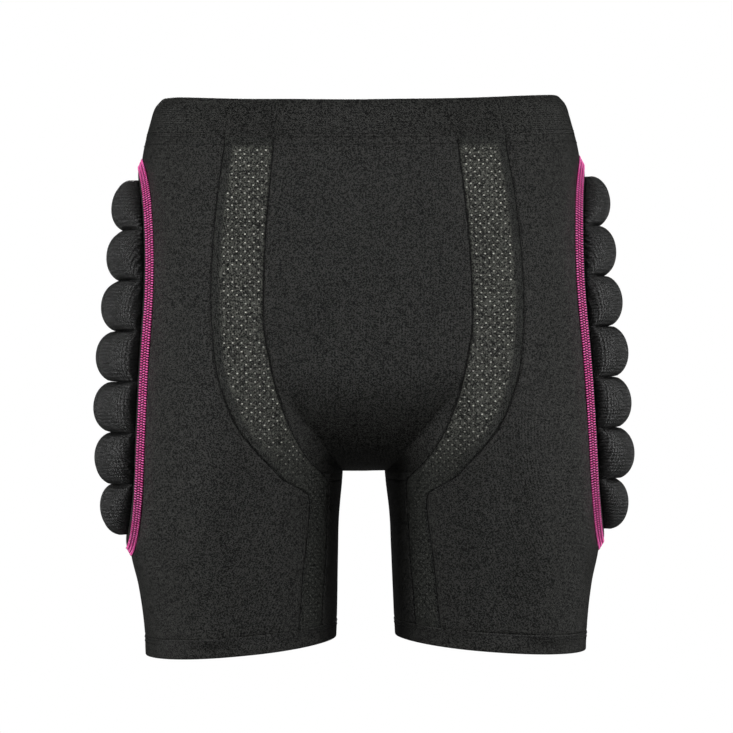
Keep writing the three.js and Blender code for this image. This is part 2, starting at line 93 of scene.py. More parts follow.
# %% Sections of the body
# Columns: depth below the waist, side, front, back, centre of the leg, gap between the legs.
SECTIONS = np.array([
    [0.0, 0.822, 0.868, 0.738, 0.16, 0.087],
    [0.015, 0.852, 0.884, 0.755, 0.165, 0.087],
    [0.036, 0.868, 0.896, 0.768, 0.17, 0.087],
    [0.09, 0.9, 0.93, 0.81, 0.19, 0.087],
    [0.142, 0.917, 0.957, 0.862, 0.22, 0.087],
    [0.236, 0.943, 0.985, 0.94, 0.28, 0.087],
    [0.354, 0.963, 1.0, 0.993, 0.35, 0.087],
    [0.472, 0.984, 0.99, 1.0, 0.42, 0.087],
    [0.59, 0.998, 0.955, 0.94, 0.48, 0.087],
    [0.675, 1.0, 0.92, 0.858, 0.51, 0.089],
    [0.755, 0.992, 0.88, 0.79, 0.515, 0.1045],
    [0.825, 0.968, 0.848, 0.746, 0.512, 0.11],
    [0.875, 0.942, 0.822, 0.716, 0.508, 0.1135],
    [0.943, 0.921, 0.79, 0.684, 0.506, 0.118],
    [1.0, 0.914, 0.768, 0.662, 0.508, 0.123],
])
print(len(SECTIONS), "sections")

# %% Seams of the panels
# Columns: depth below the waist, inner seam, outer seam, seat seam.
SEAMS = np.array([
    [0.083, 0.369, 0.566, 0.5],
    [0.184, 0.392, 0.598, 0.585],
    [0.276, 0.409, 0.618, 0.66],
    [0.347, 0.416, 0.627, 0.7],
    [0.42, 0.415, 0.624, 0.71],
    [0.493, 0.386, 0.606, 0.68],
    [0.547, 0.354, 0.57, 0.62],
    [0.597, 0.309, 0.516, 0.52],
    [0.637, 0.258, 0.442, 0.4],
    [0.66, 0.215, 0.392, 0.3],
    [0.683, 0.166, 0.342, 0.19],
    [0.699, 0.157, 0.282, 0.17],
    [0.715, 0.158, 0.24, 0.168],
    [0.765, 0.163, 0.24, 0.172],
    [0.81, 0.167, 0.251, 0.178],
    [0.864, 0.174, 0.266, 0.184],
    [0.91, 0.182, 0.274, 0.19],
    [1.0, 0.192, 0.293, 0.2],
])
print(len(SEAMS), "heights for each seam")

# %% A value between two rows
def along(table, column, depth):
    """A smooth value between the rows of a table."""
    xs = table[:, 0]
    ys = table[:, column]
    d = min(max(depth, xs[0]), xs[-1])
    i = int(min(max(np.searchsorted(xs, d, side="right") - 1, 0), len(xs) - 2))
    last = len(xs) - 1

    def slope(k):
        a, b = max(k - 1, 0), min(k + 1, last)
        return (ys[b] - ys[a]) / (xs[b] - xs[a])

    span = xs[i + 1] - xs[i]
    t = (d - xs[i]) / span
    rise = t * t * (3 - 2 * t)
    bend = t * (1 - t) ** 2 * slope(i) + t * t * (t - 1) * slope(i + 1)
    return ys[i] + (ys[i + 1] - ys[i]) * rise + span * bend


# %% [markdown]
# ## The cloth surface
# Every piece lies on one surface. A level is one height of the body: its curve runs from the
# front middle to the back middle, or round one leg, and a place on it is a length along the
# curve. A length suits cloth better than an angle, because seams and stitches keep their size.

# %% One height of the cloth
FORK_Z = -RISE
GUSSET_Z = FORK_Z - GUSSET_DROP
SAMPLES = 480


class Level:
    """One height of the right half of the shorts."""

    known = {}

    def __init__(self, z):
        depth = -z / LENGTH
        side, front, back, centre, gap = (along(SECTIONS, k, depth) for k in range(1, 6))
        self.z = z
        self.side = HALF_WIDTH * side
        self.front = FRONT_DEPTH * front
        self.back = BACK_DEPTH * back
        self.centre = HALF_WIDTH * centre
        self.wall = HALF_WIDTH * gap
        self.is_leg = z < FORK_Z - 0.01
        share = min(max((z - FORK_Z) / FORK_HEIGHT, 0), 1)
        rise = math.sqrt(1 - (1 - share) ** 2)
        self.front_y = self.front * rise
        self.back_y = self.back * rise
        self.start = -math.acos(min(rise ** (ROUND_INNER / 2), 1))
        self.end = math.pi + math.acos(min(rise ** (ROUND_INNER / 2), 1))
        first, last = (1, 2) if self.is_leg else (0, 3)
        self.v = np.linspace(first, last, SAMPLES + 1)
        x, y, _ = self.points(self.v).T
        steps = np.hypot(np.diff(x), np.diff(y))
        self.arc = np.concatenate([[0], np.cumsum(steps)])
        self.x = x
        self.total = self.arc[-1]
        self.side_index = int(np.argmax(x))
        self.side_arc = self.arc[self.side_index]

    def curve(self, angle):
        s, c = np.sin(angle), np.cos(angle)
        inner = (angle < 0) | (angle > math.pi)
        power = 2 / np.where(inner, ROUND_INNER, ROUND_OUTER)
        reach = np.where(inner, self.wall, self.side) - self.centre
        x = self.centre + reach * np.abs(s) ** power
        y = np.where(c > 0, -self.front, self.back) * np.abs(c) ** power
        return x, y

    def points(self, v):
        v = np.asarray(v, float)
        angle = self.start + (self.end - self.start) * np.clip(v - 1, 0, 1)
        x, y = self.curve(angle)
        x = np.where(v < 1, x * v, np.where(v > 2, x * (3 - v), x))
        y = np.where(v < 1, -self.front_y, np.where(v > 2, self.back_y, y))
        ahead = np.where(y < 0, (y / self.front) ** 2, 0)
        fade = min(max(1 + self.z / DIP_REACH, 0), 1)
        leg = min(max((FORK_Z - self.z) / (LENGTH - RISE), 0), 1)
        inwards = np.clip(1 - (x - self.wall) / (self.side - self.wall), 0, 1)
        dip = WAIST_DIP * fade * fade * (3 - 2 * fade) + HEM_DIP * leg
        return np.stack([x, y, self.z - dip * ahead + HEM_SLANT * leg * inwards], axis=-1)

    def at(self, arc):
        arc = np.asarray(arc, float)
        if self.is_leg:
            arc = np.mod(arc, self.total)
        return self.points(np.interp(arc, self.arc, self.v))

    def front_arc(self, x):
        k = self.side_index + 1
        return float(np.interp(x, self.x[:k], self.arc[:k]))

    def back_arc(self, x):
        k = self.side_index
        return float(np.interp(x, self.x[k:][::-1], self.arc[k:][::-1]))


# %% Looking up a height
def level(z):
    key = round(z, 3)
    if key not in Level.known:
        Level.known[key] = Level(key)
    return Level.known[key]


# %% Where the seams run
def seam(row, column):
    x = HALF_WIDTH * along(SEAMS, column, -row.z / LENGTH)
    return row.back_arc(x) if column == 3 else row.front_arc(x)


def inner_seam(row):
    return seam(row, 1)


def outer_seam(row):
    return seam(row, 2)


def seat_seam(row):
    return seam(row, 3)


# %% The oval on each hip
def oval(share, half, extra=0.0):
    power = OVAL_ROUND_TOP if share > 0 else OVAL_ROUND_BOTTOM
    left = 1 - min(abs(share), 1) ** power
    return (half + extra) * left ** (1 / power)


def hole_edge(row, half):
    return oval((row.z + OVAL_MIDDLE) / (OVAL_HALF_HEIGHT + HOLE_GROW), half, HOLE_GROW)


hips = level(-200)
print("Hip level", round(2 * hips.side), "mm wide,", round(2 * hips.total), "mm round")

# %% [markdown]
# ## From a table of points to a mesh
# A panel is a piece of flat cloth. It could be cut out of one body mesh, but seams need clean
# rows of points on both sides. So a grid is made flat, bent onto a table of points and welded.
# Each point then moves off the surface along its normal, which is how folds, rolled seam edges
# and puffed cells come about.

# %% Linking a finished mesh
scene = bpy.context.scene
made = []


def link(name, bm, material, smooth=True):
    name = "soft_" + name
    mesh = bpy.data.meshes.new(name)
    for face in bm.faces:
        face.smooth = smooth
    bm.to_mesh(mesh)
    bm.free()
    mesh.materials.append(material)
    obj = bpy.data.objects.new(name, mesh)
    scene.collection.objects.link(obj)
    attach(obj, "root")
    made.append(obj)
    return obj


# %% Bending a grid onto a table of points
def bent_grid(points, lift=None, uv=None, tone=None):
    """points[j][i] in mm, rows running down. lift is how far each point stands off the surface."""
    points = np.asarray(points, float)
    rows, columns = points.shape[:2]
    bm = bmesh.new()
    bmesh.ops.create_grid(bm, x_segments=columns - 1, y_segments=rows - 1, size=1)
    uv_layer = bm.loops.layers.uv.new("cloth")
    tone_layer = bm.verts.layers.float.new("tone")
    lift_layer = bm.verts.layers.float.new("lift")
    place = {}
    for v in bm.verts:
        i = round((v.co.x + 1) / 2 * (columns - 1))
        j = round((1 - v.co.y) / 2 * (rows - 1))
        place[v] = (j, i)
        v[tone_layer] = 0 if tone is None else float(tone[j][i])
        v[lift_layer] = 0 if lift is None else float(lift[j][i])
    if uv is None:
        step_i = np.linalg.norm(np.diff(points, axis=1), axis=2)
        step_j = np.linalg.norm(np.diff(points, axis=0), axis=2)
        u = np.concatenate([np.zeros((rows, 1)), np.cumsum(step_i, axis=1)], axis=1)
        u -= u[:, columns // 2][:, None]
        w = np.concatenate([[0], np.cumsum(np.median(step_j, axis=1))])
        uv = np.stack([u, np.repeat(w[:, None], columns, axis=1)], axis=-1)
    for face in bm.faces:
        for loop in face.loops:
            j, i = place[loop.vert]
            loop[uv_layer].uv = uv[j][i] * MM
    for v, (j, i) in place.items():
        v.co = Vector(points[j][i]) * MM
    bmesh.ops.remove_doubles(bm, verts=bm.verts[:], dist=2e-6)
    bm.normal_update()
    normals = {v: v.normal.copy() for v in bm.verts}
    for v in bm.verts:
        v.co += normals[v] * v[lift_layer] * MM
    bm.verts.layers.float.remove(lift_layer)
    return bm


# %% [markdown]
# ## Folds
# Stretched cloth has few folds: soft upright ones on the thighs, and short ones that run from
# the corners of the fork. A simulation of tight cloth is slow and hard to steer, so they are
# listed one by one. Each is a start and an end seen from the front, a width and a height, with a
# little unevenness under them all.

# %% Unevenness and soft steps
def rough(points, size, amount, seed=0.0):
    """Smooth unevenness of a surface, in mm, that is the same on every run."""
    flat = np.asarray(points).reshape(-1, 3)
    size = np.asarray(size, float)
    values = [noise.noise(Vector(p / size) + Vector((seed, 0, 0))) for p in flat]
    return amount * np.array(values).reshape(np.asarray(points).shape[:2])


def ease(value, low, high):
    t = np.clip((np.asarray(value, float) - low) / (high - low), 0, 1)
    return t * t * (3 - 2 * t)


# %% The folds
FOLDS = [
    ((-113, -200), (-120, -424), 13, 2.2),
    ((128, -215), (134, -424), 13, 2.2),
    ((-88, -250), (-86, -424), 12, -1.5),
    ((102, -240), (102, -424), 13, -1.6),
    ((-150, -250), (-146, -424), 12, -0.8),
    ((160, -240), (152, -424), 10, 0.9),
    ((-62, -300), (-60, -424), 9, 0.7),
    ((60, -330), (70, -424), 9, 0.7),
    ((-40, -292), (-78, -322), 6, 0.8),
    ((44, -296), (86, -330), 6, 0.8),
    ((-30, -262), (-52, -236), 7, 0.5),
    ((30, -264), (48, -240), 7, 0.5),
    ((-128, -60), (-150, -150), 12, 0.7),
    ((118, -55), (146, -150), 12, 0.7),
    ((-10, -70), (-30, -180), 18, 0.35),
]


def folds(points):
    """How far the cloth stands off the body at each point, in mm."""
    points = np.asarray(points, float)
    x, y, z = points[..., 0], points[..., 1], points[..., 2]
    low = ease(-z, 160, 300)
    lift = rough(points, (20, 20, 120), 1.0) * (0.22 + 0.5 * low)
    lift += rough(points, (9, 9, 16), 0.10, 4.0)
    front = ease(-y, 8, 30)
    for (x1, z1), (x2, z2), width, height in FOLDS:
        dx, dz = x2 - x1, z2 - z1
        t = ((x - x1) * dx + (z - z1) * dz) / (dx * dx + dz * dz)
        near = np.clip(t, 0, 1)
        away = np.hypot(x - x1 - near * dx, z - z1 - near * dz)
        ends = ease(t, -0.1, 0.3)
        if z2 > -LENGTH:
            ends = ends * ease(-t, -1.1, -0.7)
        lift += height * np.exp(-((away / width) ** 2)) * ends * front
    return lift


print(len(FOLDS), "folds")

# %% [markdown]
# ## Materials
# Fine knit shows as a grain of loops, light on dark, with faint ribs. It could be a picture of
# cloth, but nodes stay sharp at any distance. Two small classes keep them short: one lets node
# maths read like plain maths, the other adds any other node.

# %% Maths on node sockets
class Maths:
    """A value in a node tree."""

    def __init__(self, tree, socket):
        self.tree, self.socket = tree, socket

    def run(self, operation, other=None, clamp=False):
        node = self.tree.nodes.new("ShaderNodeMath")
        node.operation = operation
        node.use_clamp = clamp
        self.tree.links.new(self.socket, node.inputs[0])
        if isinstance(other, Maths):
            self.tree.links.new(other.socket, node.inputs[1])
        elif other is not None:
            node.inputs[1].default_value = other
        return Maths(self.tree, node.outputs[0])

    def __add__(self, other):
        return self.run("ADD", other)

    def __sub__(self, other):
        return self.run("SUBTRACT", other)

    def __rsub__(self, other):
        return self.run("MULTIPLY", -1.0) + other

    def __mul__(self, other):
        return self.run("MULTIPLY", other)

    __radd__ = __add__
    __rmul__ = __mul__

    def sine(self):
        return self.run("SINE")

    def cut(self):
        return self.run("ADD", 0.0, clamp=True)


# %% A tree of nodes
class Nodes:
    """The one way to add a node: its kind, what feeds its sockets, and its settings."""

    def __init__(self, tree):
        self.tree = tree

    def node(self, kind, inputs=None, **settings):
        new_node = self.tree.nodes.new(kind)
        for key, value in settings.items():
            setattr(new_node, key, value)
        self.wire(new_node, inputs or {})
        return new_node

    def wire(self, node, inputs):
        for key, value in inputs.items():
            if isinstance(value, Maths):
                value = value.socket
            if isinstance(value, bpy.types.NodeSocket):
                self.tree.links.new(value, node.inputs[key])
            else:
                node.inputs[key].default_value = value


# %% A material
class Look(Nodes):
    """A material made of one principled shader and the nodes that feed it."""

    def __init__(self, name, roughness, gloss=0.25):
        self.material = bpy.data.materials.new(name)
        self.material.use_nodes = True
        super().__init__(self.material.node_tree)
        self.shader = self.tree.nodes["Principled BSDF"]
        self.wire(self.shader, {"Roughness": roughness, "Specular IOR Level": gloss})

    def uv(self):
        source = self.node("ShaderNodeUVMap", uv_map="cloth")
        split = self.node("ShaderNodeSeparateXYZ", {0: source.outputs[0]})
        return Maths(self.tree, split.outputs[0]), Maths(self.tree, split.outputs[1])

    def tone(self):
        source = self.node("ShaderNodeAttribute", attribute_name="tone")
        return Maths(self.tree, source.outputs["Fac"])

    def place(self):
        return self.node("ShaderNodeTexCoord").outputs["Object"]

    def noise(self, vector, scale, detail):
        source = self.node(
            "ShaderNodeTexNoise", {"Vector": vector, "Scale": scale, "Detail": detail}
        )
        return Maths(self.tree, source.outputs["Fac"])

    def cells(self, vector, scale):
        source = self.node("ShaderNodeTexVoronoi", {"Vector": vector, "Scale": scale})
        split = self.node("ShaderNodeSeparateXYZ", {0: source.outputs["Color"]})
        return Maths(self.tree, split.outputs[0])

    def feed(self, name, value):
        self.wire(self.shader, {name: value})

    def mix(self, factor, low, high):
        """Low and high are colours, or sockets that give one."""
        ends = [c if isinstance(c, bpy.types.NodeSocket) else (*c, 1) for c in (low, high)]
        inputs = {"Factor": factor, 6: ends[0], 7: ends[1]}
        return self.node("ShaderNodeMix", inputs, data_type="RGBA").outputs[2]

    def bump(self, height, distance):
        inputs = {"Height": height, "Distance": distance, "Strength": 1.0}
        self.feed("Normal", self.node("ShaderNodeBump", inputs).outputs[0])


# %% Knit
LOOP_SCALE = 1550.0
YARN_SCALE = 1900.0
BROAD_SCALE = 30.0
LOOP_CONTRAST = 2.9
BROAD_CONTRAST = 0.25
PALE_SHARE = 0.42


def knit(name, dark, light, wale, depth, roughness=0.42, gloss=0.15, course=1.0, ribs=0.15):
    """Fine knit: columns of loops every wale mm, courses across them, and uneven yarn."""
    look = Look(name, roughness, gloss)
    u, w = look.uv()
    place = look.place()
    columns = (u * (2 * math.pi / (wale * MM))).sine()
    courses = (w * (2 * math.pi / (course * MM))).sine()
    yarn = look.noise(place, YARN_SCALE, 1.0)
    broad = look.noise(place, BROAD_SCALE, 3.0)
    loops = look.cells(place, LOOP_SCALE)
    speck = (loops - 0.5) * LOOP_CONTRAST + (broad - 0.5) * BROAD_CONTRAST + columns * ribs
    speck = (speck + courses * columns * 0.1 + PALE_SHARE).cut()
    look.feed("Base Color", look.mix(speck, dark, light))
    look.bump(columns * 0.5 + courses * 0.3 + yarn * 1.6, depth * MM)
    return look


# %% Black cloth, thread and pink thread
BLACK, GREY = (0.001, 0.0011, 0.001), (0.042, 0.0425, 0.0395)
black_cloth = knit("black_knit", BLACK, GREY, 1.1, 0.2).material
band_cloth = knit("band_knit", BLACK, GREY, 1.3, 0.22, course=1.7).material
thread = knit("black_thread", (0.001, 0.001, 0.001), (0.008, 0.008, 0.008), 0.4, 0.05).material
pink_look = knit(
    "pink_thread", (0.85, 0.07, 0.34), (1.0, 0.22, 0.58), 0.5, 0.05, roughness=0.6, gloss=0.3
)
pink = pink_look.material
seam_bed = knit("seam_bed", (0.03, 0.001, 0.012), (0.09, 0.005, 0.04), 0.5, 0.08).material

# %% Ribbed cloth of the pads, with painted shade that darkens it towards the valleys
pad_look = knit(
    "ribbed_knit", (0.0005, 0.0005, 0.0005), (0.032, 0.033, 0.032), 1.1, 0.4,
    course=2.4, ribs=0.6, gloss=0.45, roughness=0.36,
)
# Painted shade: the knit goes to near black where the room to the cell's edge is small, in the
# valleys between the cells.
valley_shade_mix = (pad_look.tone() * 0.22 + 0.12).cut()
puffed = pad_look.shader.inputs["Base Color"].links[0].from_socket
pad_look.feed("Base Color", pad_look.mix(valley_shade_mix, (0.001, 0.001, 0.001), puffed))
pad_cloth = pad_look.material

# %% Perforated cloth, and what shows through its holes
NET_SCALE = 1200.0
net_look = knit("net_knit", BLACK, (0.042, 0.044, 0.04), 1.3, 0.3)
open_cells = net_look.cells(net_look.place(), NET_SCALE)
open_share = ((open_cells - 0.5) * 1.8 + 0.4).cut()
open_knit = net_look.mix(open_share, (0.004, 0.0042, 0.0037), (0.1, 0.103, 0.09))
plain = net_look.shader.inputs["Base Color"].links[0].from_socket
net_look.feed("Base Color", net_look.mix(net_look.tone().cut(), plain, open_knit))
net_cloth = net_look.material

pale_look = Look("eyelet_floor", 0.8)
pale_tone = pale_look.mix(pale_look.tone().cut(), (0.03, 0.032, 0.028), (0.62, 0.62, 0.56))
pale_look.feed("Base Color", pale_tone)
pale = pale_look.material
print(len(bpy.data.materials), "materials")

# %% [markdown]
# ## Cloth panels
# Each panel of the real shorts is sewn to its neighbours, and the cloth dips at every seam. The
# seams could be grooves cut into one mesh, or a dark line in the material. Here each panel is a
# piece of its own between two seams. Its edges roll in a little, which draws the seam line.

# %% A wall, and the other half of a table
MIRROR = np.array([-1, 1, 1])
CLOTH_WALL = 1.1


def thicken(obj, thickness):
    wall = obj.modifiers.new("wall", "SOLIDIFY")
    wall.thickness = thickness * MM
    wall.offset = -1
    return obj


def other_side(table):
    """A table of points of the right half, turned into one of the left half."""
    return np.asarray(table)[:, ::-1] * MIRROR


# %% Points, lift and flat place of a panel
ROLL = 0.8
ROLL_REACH = 1.1


def shares(step, span):
    fine = [0.0, 0.5, 1.1, 2.0, 3.4]
    middle = np.linspace(3.4, span - 3.4, max(int(span / step), 2))[1:-1]
    return np.array([*fine, *middle, *(span - np.array(fine[::-1]))]) / span


def rolled(distance, depth=ROLL):
    return -depth * np.exp(-((distance / ROLL_REACH) ** 2))


def panel_table(rows, left, right, step, widest):
    part = shares(step, widest)
    points, lift, uv = [], [], []
    for z in rows:
        row = level(z)
        low, high = left(row), right(row)
        arcs = low + (high - low) * part
        points.append(row.at(arcs))
        edge = np.minimum(arcs - low, high - arcs)
        lift.append(rolled(np.maximum(edge, 0)))
        uv.append(np.stack([arcs - row.side_arc, np.full(len(arcs), -z)], axis=-1))
    return np.array(points), np.array(lift), np.array(uv)


def rows_between(top, bottom, step):
    return list(np.linspace(top, bottom, max(int((top - bottom) / step), 2) + 1))


# %% Heights at which the panels have a row of points
PANEL_TOP = -BAND_HEIGHT + 0.2
PANEL_BOTTOM = HEM_TOP - 0.1
fork_steps = np.radians(np.linspace(90, 0, 30))
fork_rows = [FORK_Z + FORK_HEIGHT * (1 - math.cos(a)) for a in fork_steps]
top_rows = [PANEL_TOP, PANEL_TOP - 0.8, PANEL_TOP - 2]
bottom_rows = [PANEL_BOTTOM + 2, PANEL_BOTTOM + 0.8, PANEL_BOTTOM]
upper_rows = top_rows + rows_between(PANEL_TOP - 5, fork_rows[0], 4.5)[:-1] + fork_rows
leg_rows = [FORK_Z - 3, GUSSET_Z, *rows_between(GUSSET_Z - 3, PANEL_BOTTOM + 4, 3.5), *bottom_rows]
all_rows = upper_rows + leg_rows
print(len(all_rows), "rows from the waistband to the hem")


# %% A panel and its flat size
TOP_ROLL, HEM_ROLL = 0.08, 0.3
FOLD_LOW, FOLD_HIGH = -2.0, 2.4


def end_roll(rows):
    z = np.array(rows)[:, None]
    return rolled(np.abs(z - rows[0]), TOP_ROLL) + rolled(np.abs(z - rows[-1]), HEM_ROLL)


def declare(obj, points, node):
    """Hides the CAD solid of a cloth panel and works out its flat width, length and area."""
    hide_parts(node)
    p = np.asarray(points)
    width = np.linalg.norm(np.diff(p, axis=1), axis=2).sum(axis=1).max()
    length = np.linalg.norm(np.diff(p, axis=0), axis=2).sum(axis=0).max()
    a, b, c, d = p[:-1, :-1], p[1:, :-1], p[1:, 1:], p[:-1, 1:]
    first = np.linalg.norm(np.cross(b - a, c - a), axis=2).sum()
    second = np.linalg.norm(np.cross(c - a, d - a), axis=2).sum()
    area = (first + second) / 2 * MM * MM
    flat = (float(width * MM), float(length * MM))
    area = min(max(area, 0.31 * flat[0] * flat[1]), flat[0] * flat[1])


def cloth_panel(name, rows, left, right, step, widest, material=None, tone_of=None):
    """One panel on each side of the body. Their folds differ, as on real cloth."""
    points, lift, uv = panel_table(rows, left, right, step, widest)
    lift = lift + end_roll(rows)
    tone = None if tone_of is None else tone_of(rows, uv)
    material = material or black_cloth
    for side in ("right", "left"):
        if side == "left":
            points = other_side(points)
            lift, uv = lift[:, ::-1], uv[:, ::-1] * np.array([-1, 1])
            tone = None if tone is None else tone[:, ::-1]
        total = np.clip(lift + folds(points), FOLD_LOW, FOLD_HIGH)
        obj = link(f"{name}_{side}", bent_grid(points, total, uv, tone), material)
        declare(thicken(obj, CLOTH_WALL), points, f"{name}_{side}")


# %% Panels stop at the oval hole
HOLE_REACH = OVAL_HALF_HEIGHT + HOLE_GROW


def edge_of_hole(row, half, sign):
    if abs(row.z + OVAL_MIDDLE) >= HOLE_REACH:
        return row.side_arc
    return row.side_arc + sign * hole_edge(row, half)


def front_edge(row):
    return edge_of_hole(row, OVAL_FRONT, -1)


def back_edge(row):
    return edge_of_hole(row, OVAL_BACK, 1)


TIP_SHARES = (1, 0.997, 0.99, 0.98, 0.965, 0.945, 0.92)
tips = [-OVAL_MIDDLE + end * share * HOLE_REACH for end in (1, -1) for share in TIP_SHARES]
side_rows = sorted(set(all_rows + tips), reverse=True)
print(len(side_rows), "rows beside the ovals")

# %% Where the mesh panels are perforated
NET_MARGIN_TOP = 7.5
NET_MARGIN_LEG = 3.0


def open_limits(row):
    """The perforated part of a mesh panel, from the inner to the outer seam."""
    leg = float(ease(-row.z, RISE - 12, RISE + 4))
    margin = NET_MARGIN_TOP + (NET_MARGIN_LEG - NET_MARGIN_TOP) * leg
    return inner_seam(row) + 1.2 + 1.5 * leg, outer_seam(row) - margin


def leg_share(z):
    """0 on the belly, 1 from just below the fork on."""
    return float(ease(-z, RISE - 45, RISE + 5))


def open_tone(rows, uv):
    """How open the knit is at each point of a mesh panel."""
    tone = []
    for z, line in zip(rows, uv):
        row = level(z)
        low, high = open_limits(row)
        arcs = line[:, 0] + row.side_arc
        strength = (1 - 0.85 * leg_share(z)) * float(ease(-z, 34, 39))
        between = ease(arcs, low - 1.5, low) * (1 - ease(arcs, high, high + 1.5))
        tone.append(strength * between)
    return np.array(tone)


# %% The panels of the body and legs
cloth_panel("mesh_panel", all_rows, inner_seam, outer_seam, 1.5, 44, net_cloth, open_tone)
cloth_panel("front_leg", side_rows, outer_seam, front_edge, 3.5, 110)
cloth_panel("back_leg", side_rows, back_edge, seat_seam, 4, 110)
thigh_rows = [GUSSET_Z - 0.2, *rows_between(GUSSET_Z - 3, PANEL_BOTTOM + 4, 4), *bottom_rows]
cloth_panel("inner_thigh", thigh_rows, lambda r: seat_seam(r) - r.total, inner_seam, 4, 150)
print(len(made), "panels")

# %% [markdown]
# ## Centre panels
# The front and seat panels close the body between the legs. Each could be two halves with a seam
# in the middle, but the real cloth has none there, so both halves are joined in one table. The
# last rows run round the corner of the fork and a little way down the inner thighs.

# %% Half of a centre panel
GUSSET_ROWS = [FORK_Z - 1.5, FORK_Z - 3, GUSSET_Z]
STRAIGHT, CURVED = 24, 26


def towards(start, end, count):
    """Places from start to end that lie closer together near the end."""
    return start + (end - start) * (1 - (1 - np.linspace(0, 1, count + 1)) ** 1.5)


def fork_row(z, edge_of, on_back, last):
    """A row below the fork: the straight part of the last one, then round the inner thigh."""
    row = level(z)
    start = row.total - 1e-6 if on_back else 0.0
    away = towards(0.0, edge_of(row) - start, CURVED)
    line, _, uv = last
    keep = slice(0, STRAIGHT + 1)
    lift = np.concatenate([np.zeros(STRAIGHT + 1), rolled(np.abs(edge_of(row) - start - away))])
    flat = np.stack([away + uv[STRAIGHT][0], np.full(len(away), -z)], axis=-1)
    line = np.concatenate([line[keep], row.at(start + away)])
    return line, lift, np.concatenate([uv[keep], flat])


def centre_table(edge_of, on_back):
    lines, lifts, uvs = [], [], []
    for z in upper_rows:
        row = level(z)
        middle = row.total if on_back else 0.0
        corner = float(np.interp(2 if on_back else 1, row.v, row.arc))
        reach = edge_of(row) - middle
        turn = corner - middle
        turn = math.copysign(min(abs(turn), 0.6 * abs(reach)), reach)
        away = np.concatenate([np.linspace(0, turn, STRAIGHT + 1), towards(turn, reach, CURVED)])
        lines.append(row.at(middle + away))
        lifts.append(rolled(np.abs(reach - away)))
        uvs.append(np.stack([away, np.full(len(away), -z)], axis=-1))
    last = lines[-1], lifts[-1], uvs[-1]
    for z in GUSSET_ROWS:
        line, lift, uv = fork_row(z, edge_of, on_back, last)
        lines.append(line)
        lifts.append(lift)
        uvs.append(uv)
    return np.array(lines), np.array(lifts), np.array(uvs)


# %% Both halves in one piece
def centre_panel(name, edge_of, on_back):
    points, lift, uv = centre_table(edge_of, on_back)
    z = np.array(upper_rows + GUSSET_ROWS)[:, None]
    lift = lift + rolled(np.abs(z - upper_rows[0]), TOP_ROLL)
    twin = points * MIRROR
    twin_uv = uv * np.array([-1, 1])
    if on_back:
        first, second, first_uv, second_uv = points, twin, uv, twin_uv
    else:
        first, second, first_uv, second_uv = twin, points, twin_uv, uv
    whole = np.concatenate([first[:, ::-1], second[:, 1:]], axis=1)
    lifts = np.concatenate([lift[:, ::-1], lift[:, 1:]], axis=1)
    uvs = np.concatenate([first_uv[:, ::-1], second_uv[:, 1:]], axis=1)
    total = np.clip(lifts + folds(whole), -2, 2)
    obj = thicken(link(name, bent_grid(whole, total, uvs), black_cloth), CLOTH_WALL)
    declare(obj, whole, name)
    print(name, len(obj.data.polygons), "faces")


centre_panel("front_panel", inner_seam, False)
centre_panel("seat_panel", seat_seam, True)

# %% [markdown]
# ## Oval hip panels
# Each hip pad is sewn on an oval of cloth, let into the side of the shorts. The oval could lie
# flush with the legs. On the real shorts the foam under it lifts its edge, so the edge is raised
# here as well, which turns the pink seam towards the front, where it is seen.

# %% Oval hip panels
def front_share(ahead):
    """The seam is raised most along its front edge."""
    return 0.3 + 0.7 * ease(ahead, -10, 30)


def oval_table(grow, lines, step):
    points, lift = [], []
    part = shares(step, OVAL_FRONT + OVAL_BACK)
    for s in np.cos(np.linspace(0, math.pi, lines)):
        row = level(-OVAL_MIDDLE + float(s) * (OVAL_HALF_HEIGHT + grow))
        ahead, behind = oval(s, OVAL_FRONT, grow), oval(s, OVAL_BACK, grow)
        arcs = -ahead + (ahead + behind) * part
        points.append(row.at(row.side_arc + arcs))
        power = OVAL_ROUND_TOP if s > 0 else OVAL_ROUND_BOTTOM
        half = np.where(arcs < 0, OVAL_FRONT, OVAL_BACK) + grow
        r = ((np.abs(arcs) / half) ** power + abs(s) ** power) ** (1 / power)
        rim = 1 - ease((1 - r) * 62, 1.0, 8.0)
        lift.append(-0.3 + (PINK_TILT * front_share(-arcs) + 0.1) * rim)
    return np.array(points), np.array(lift)


points, lift = oval_table(-PINK_WIDTH / 2 + 1.7, 81, 4)
for side in ("right", "left"):
    if side == "left":
        points, lift = other_side(points), lift[:, ::-1]
    obj = link("hip_panel_" + side, bent_grid(points, lift), black_cloth)
    declare(thicken(obj, CLOTH_WALL), points, "hip_panel_" + side)
print("Hip panel", len(obj.data.polygons), "faces")

# %% [markdown]
# ## Waistband and hems
# The waistband is knit folded over wide elastic, and each hem is the leg's own cloth turned up.
# A plain tube would look cut off at its edge. So each is a folded band: out over the outside,
# round the fold and back down the inside. The seams of the perforated panels run on through the
# waistband as shallow grooves.

# %% Rings of points, finer beside the grooves
def ring_arcs(row, count):
    if row.is_leg:
        return np.linspace(0, row.total, count + 1)[:-1]
    top = level(-LENGTH * SEAMS[0, 0])
    fine = np.array([-3.2, -2.0, -1.2, -0.6, 0, 0.6, 1.2, 2.0, 3.2])
    inner = row.front_arc(HALF_WIDTH * SEAMS[0, 1] * row.side / top.side)
    outer = row.front_arc(HALF_WIDTH * SEAMS[0, 2] * row.side / top.side)
    parts = [
        np.linspace(0, inner - 5, 18),
        inner + fine,
        np.linspace(inner + 5, outer - 5, 8),
        outer + fine,
        np.linspace(outer + 5, row.total, count // 2 - 40),
    ]
    return np.concatenate(parts)


def ring_points(z, count):
    row = level(z)
    arcs = ring_arcs(row, count)
    half = row.at(arcs)
    if row.is_leg:
        return half
    other = half[::-1] * MIRROR
    return np.concatenate([half, other[1:-1]])


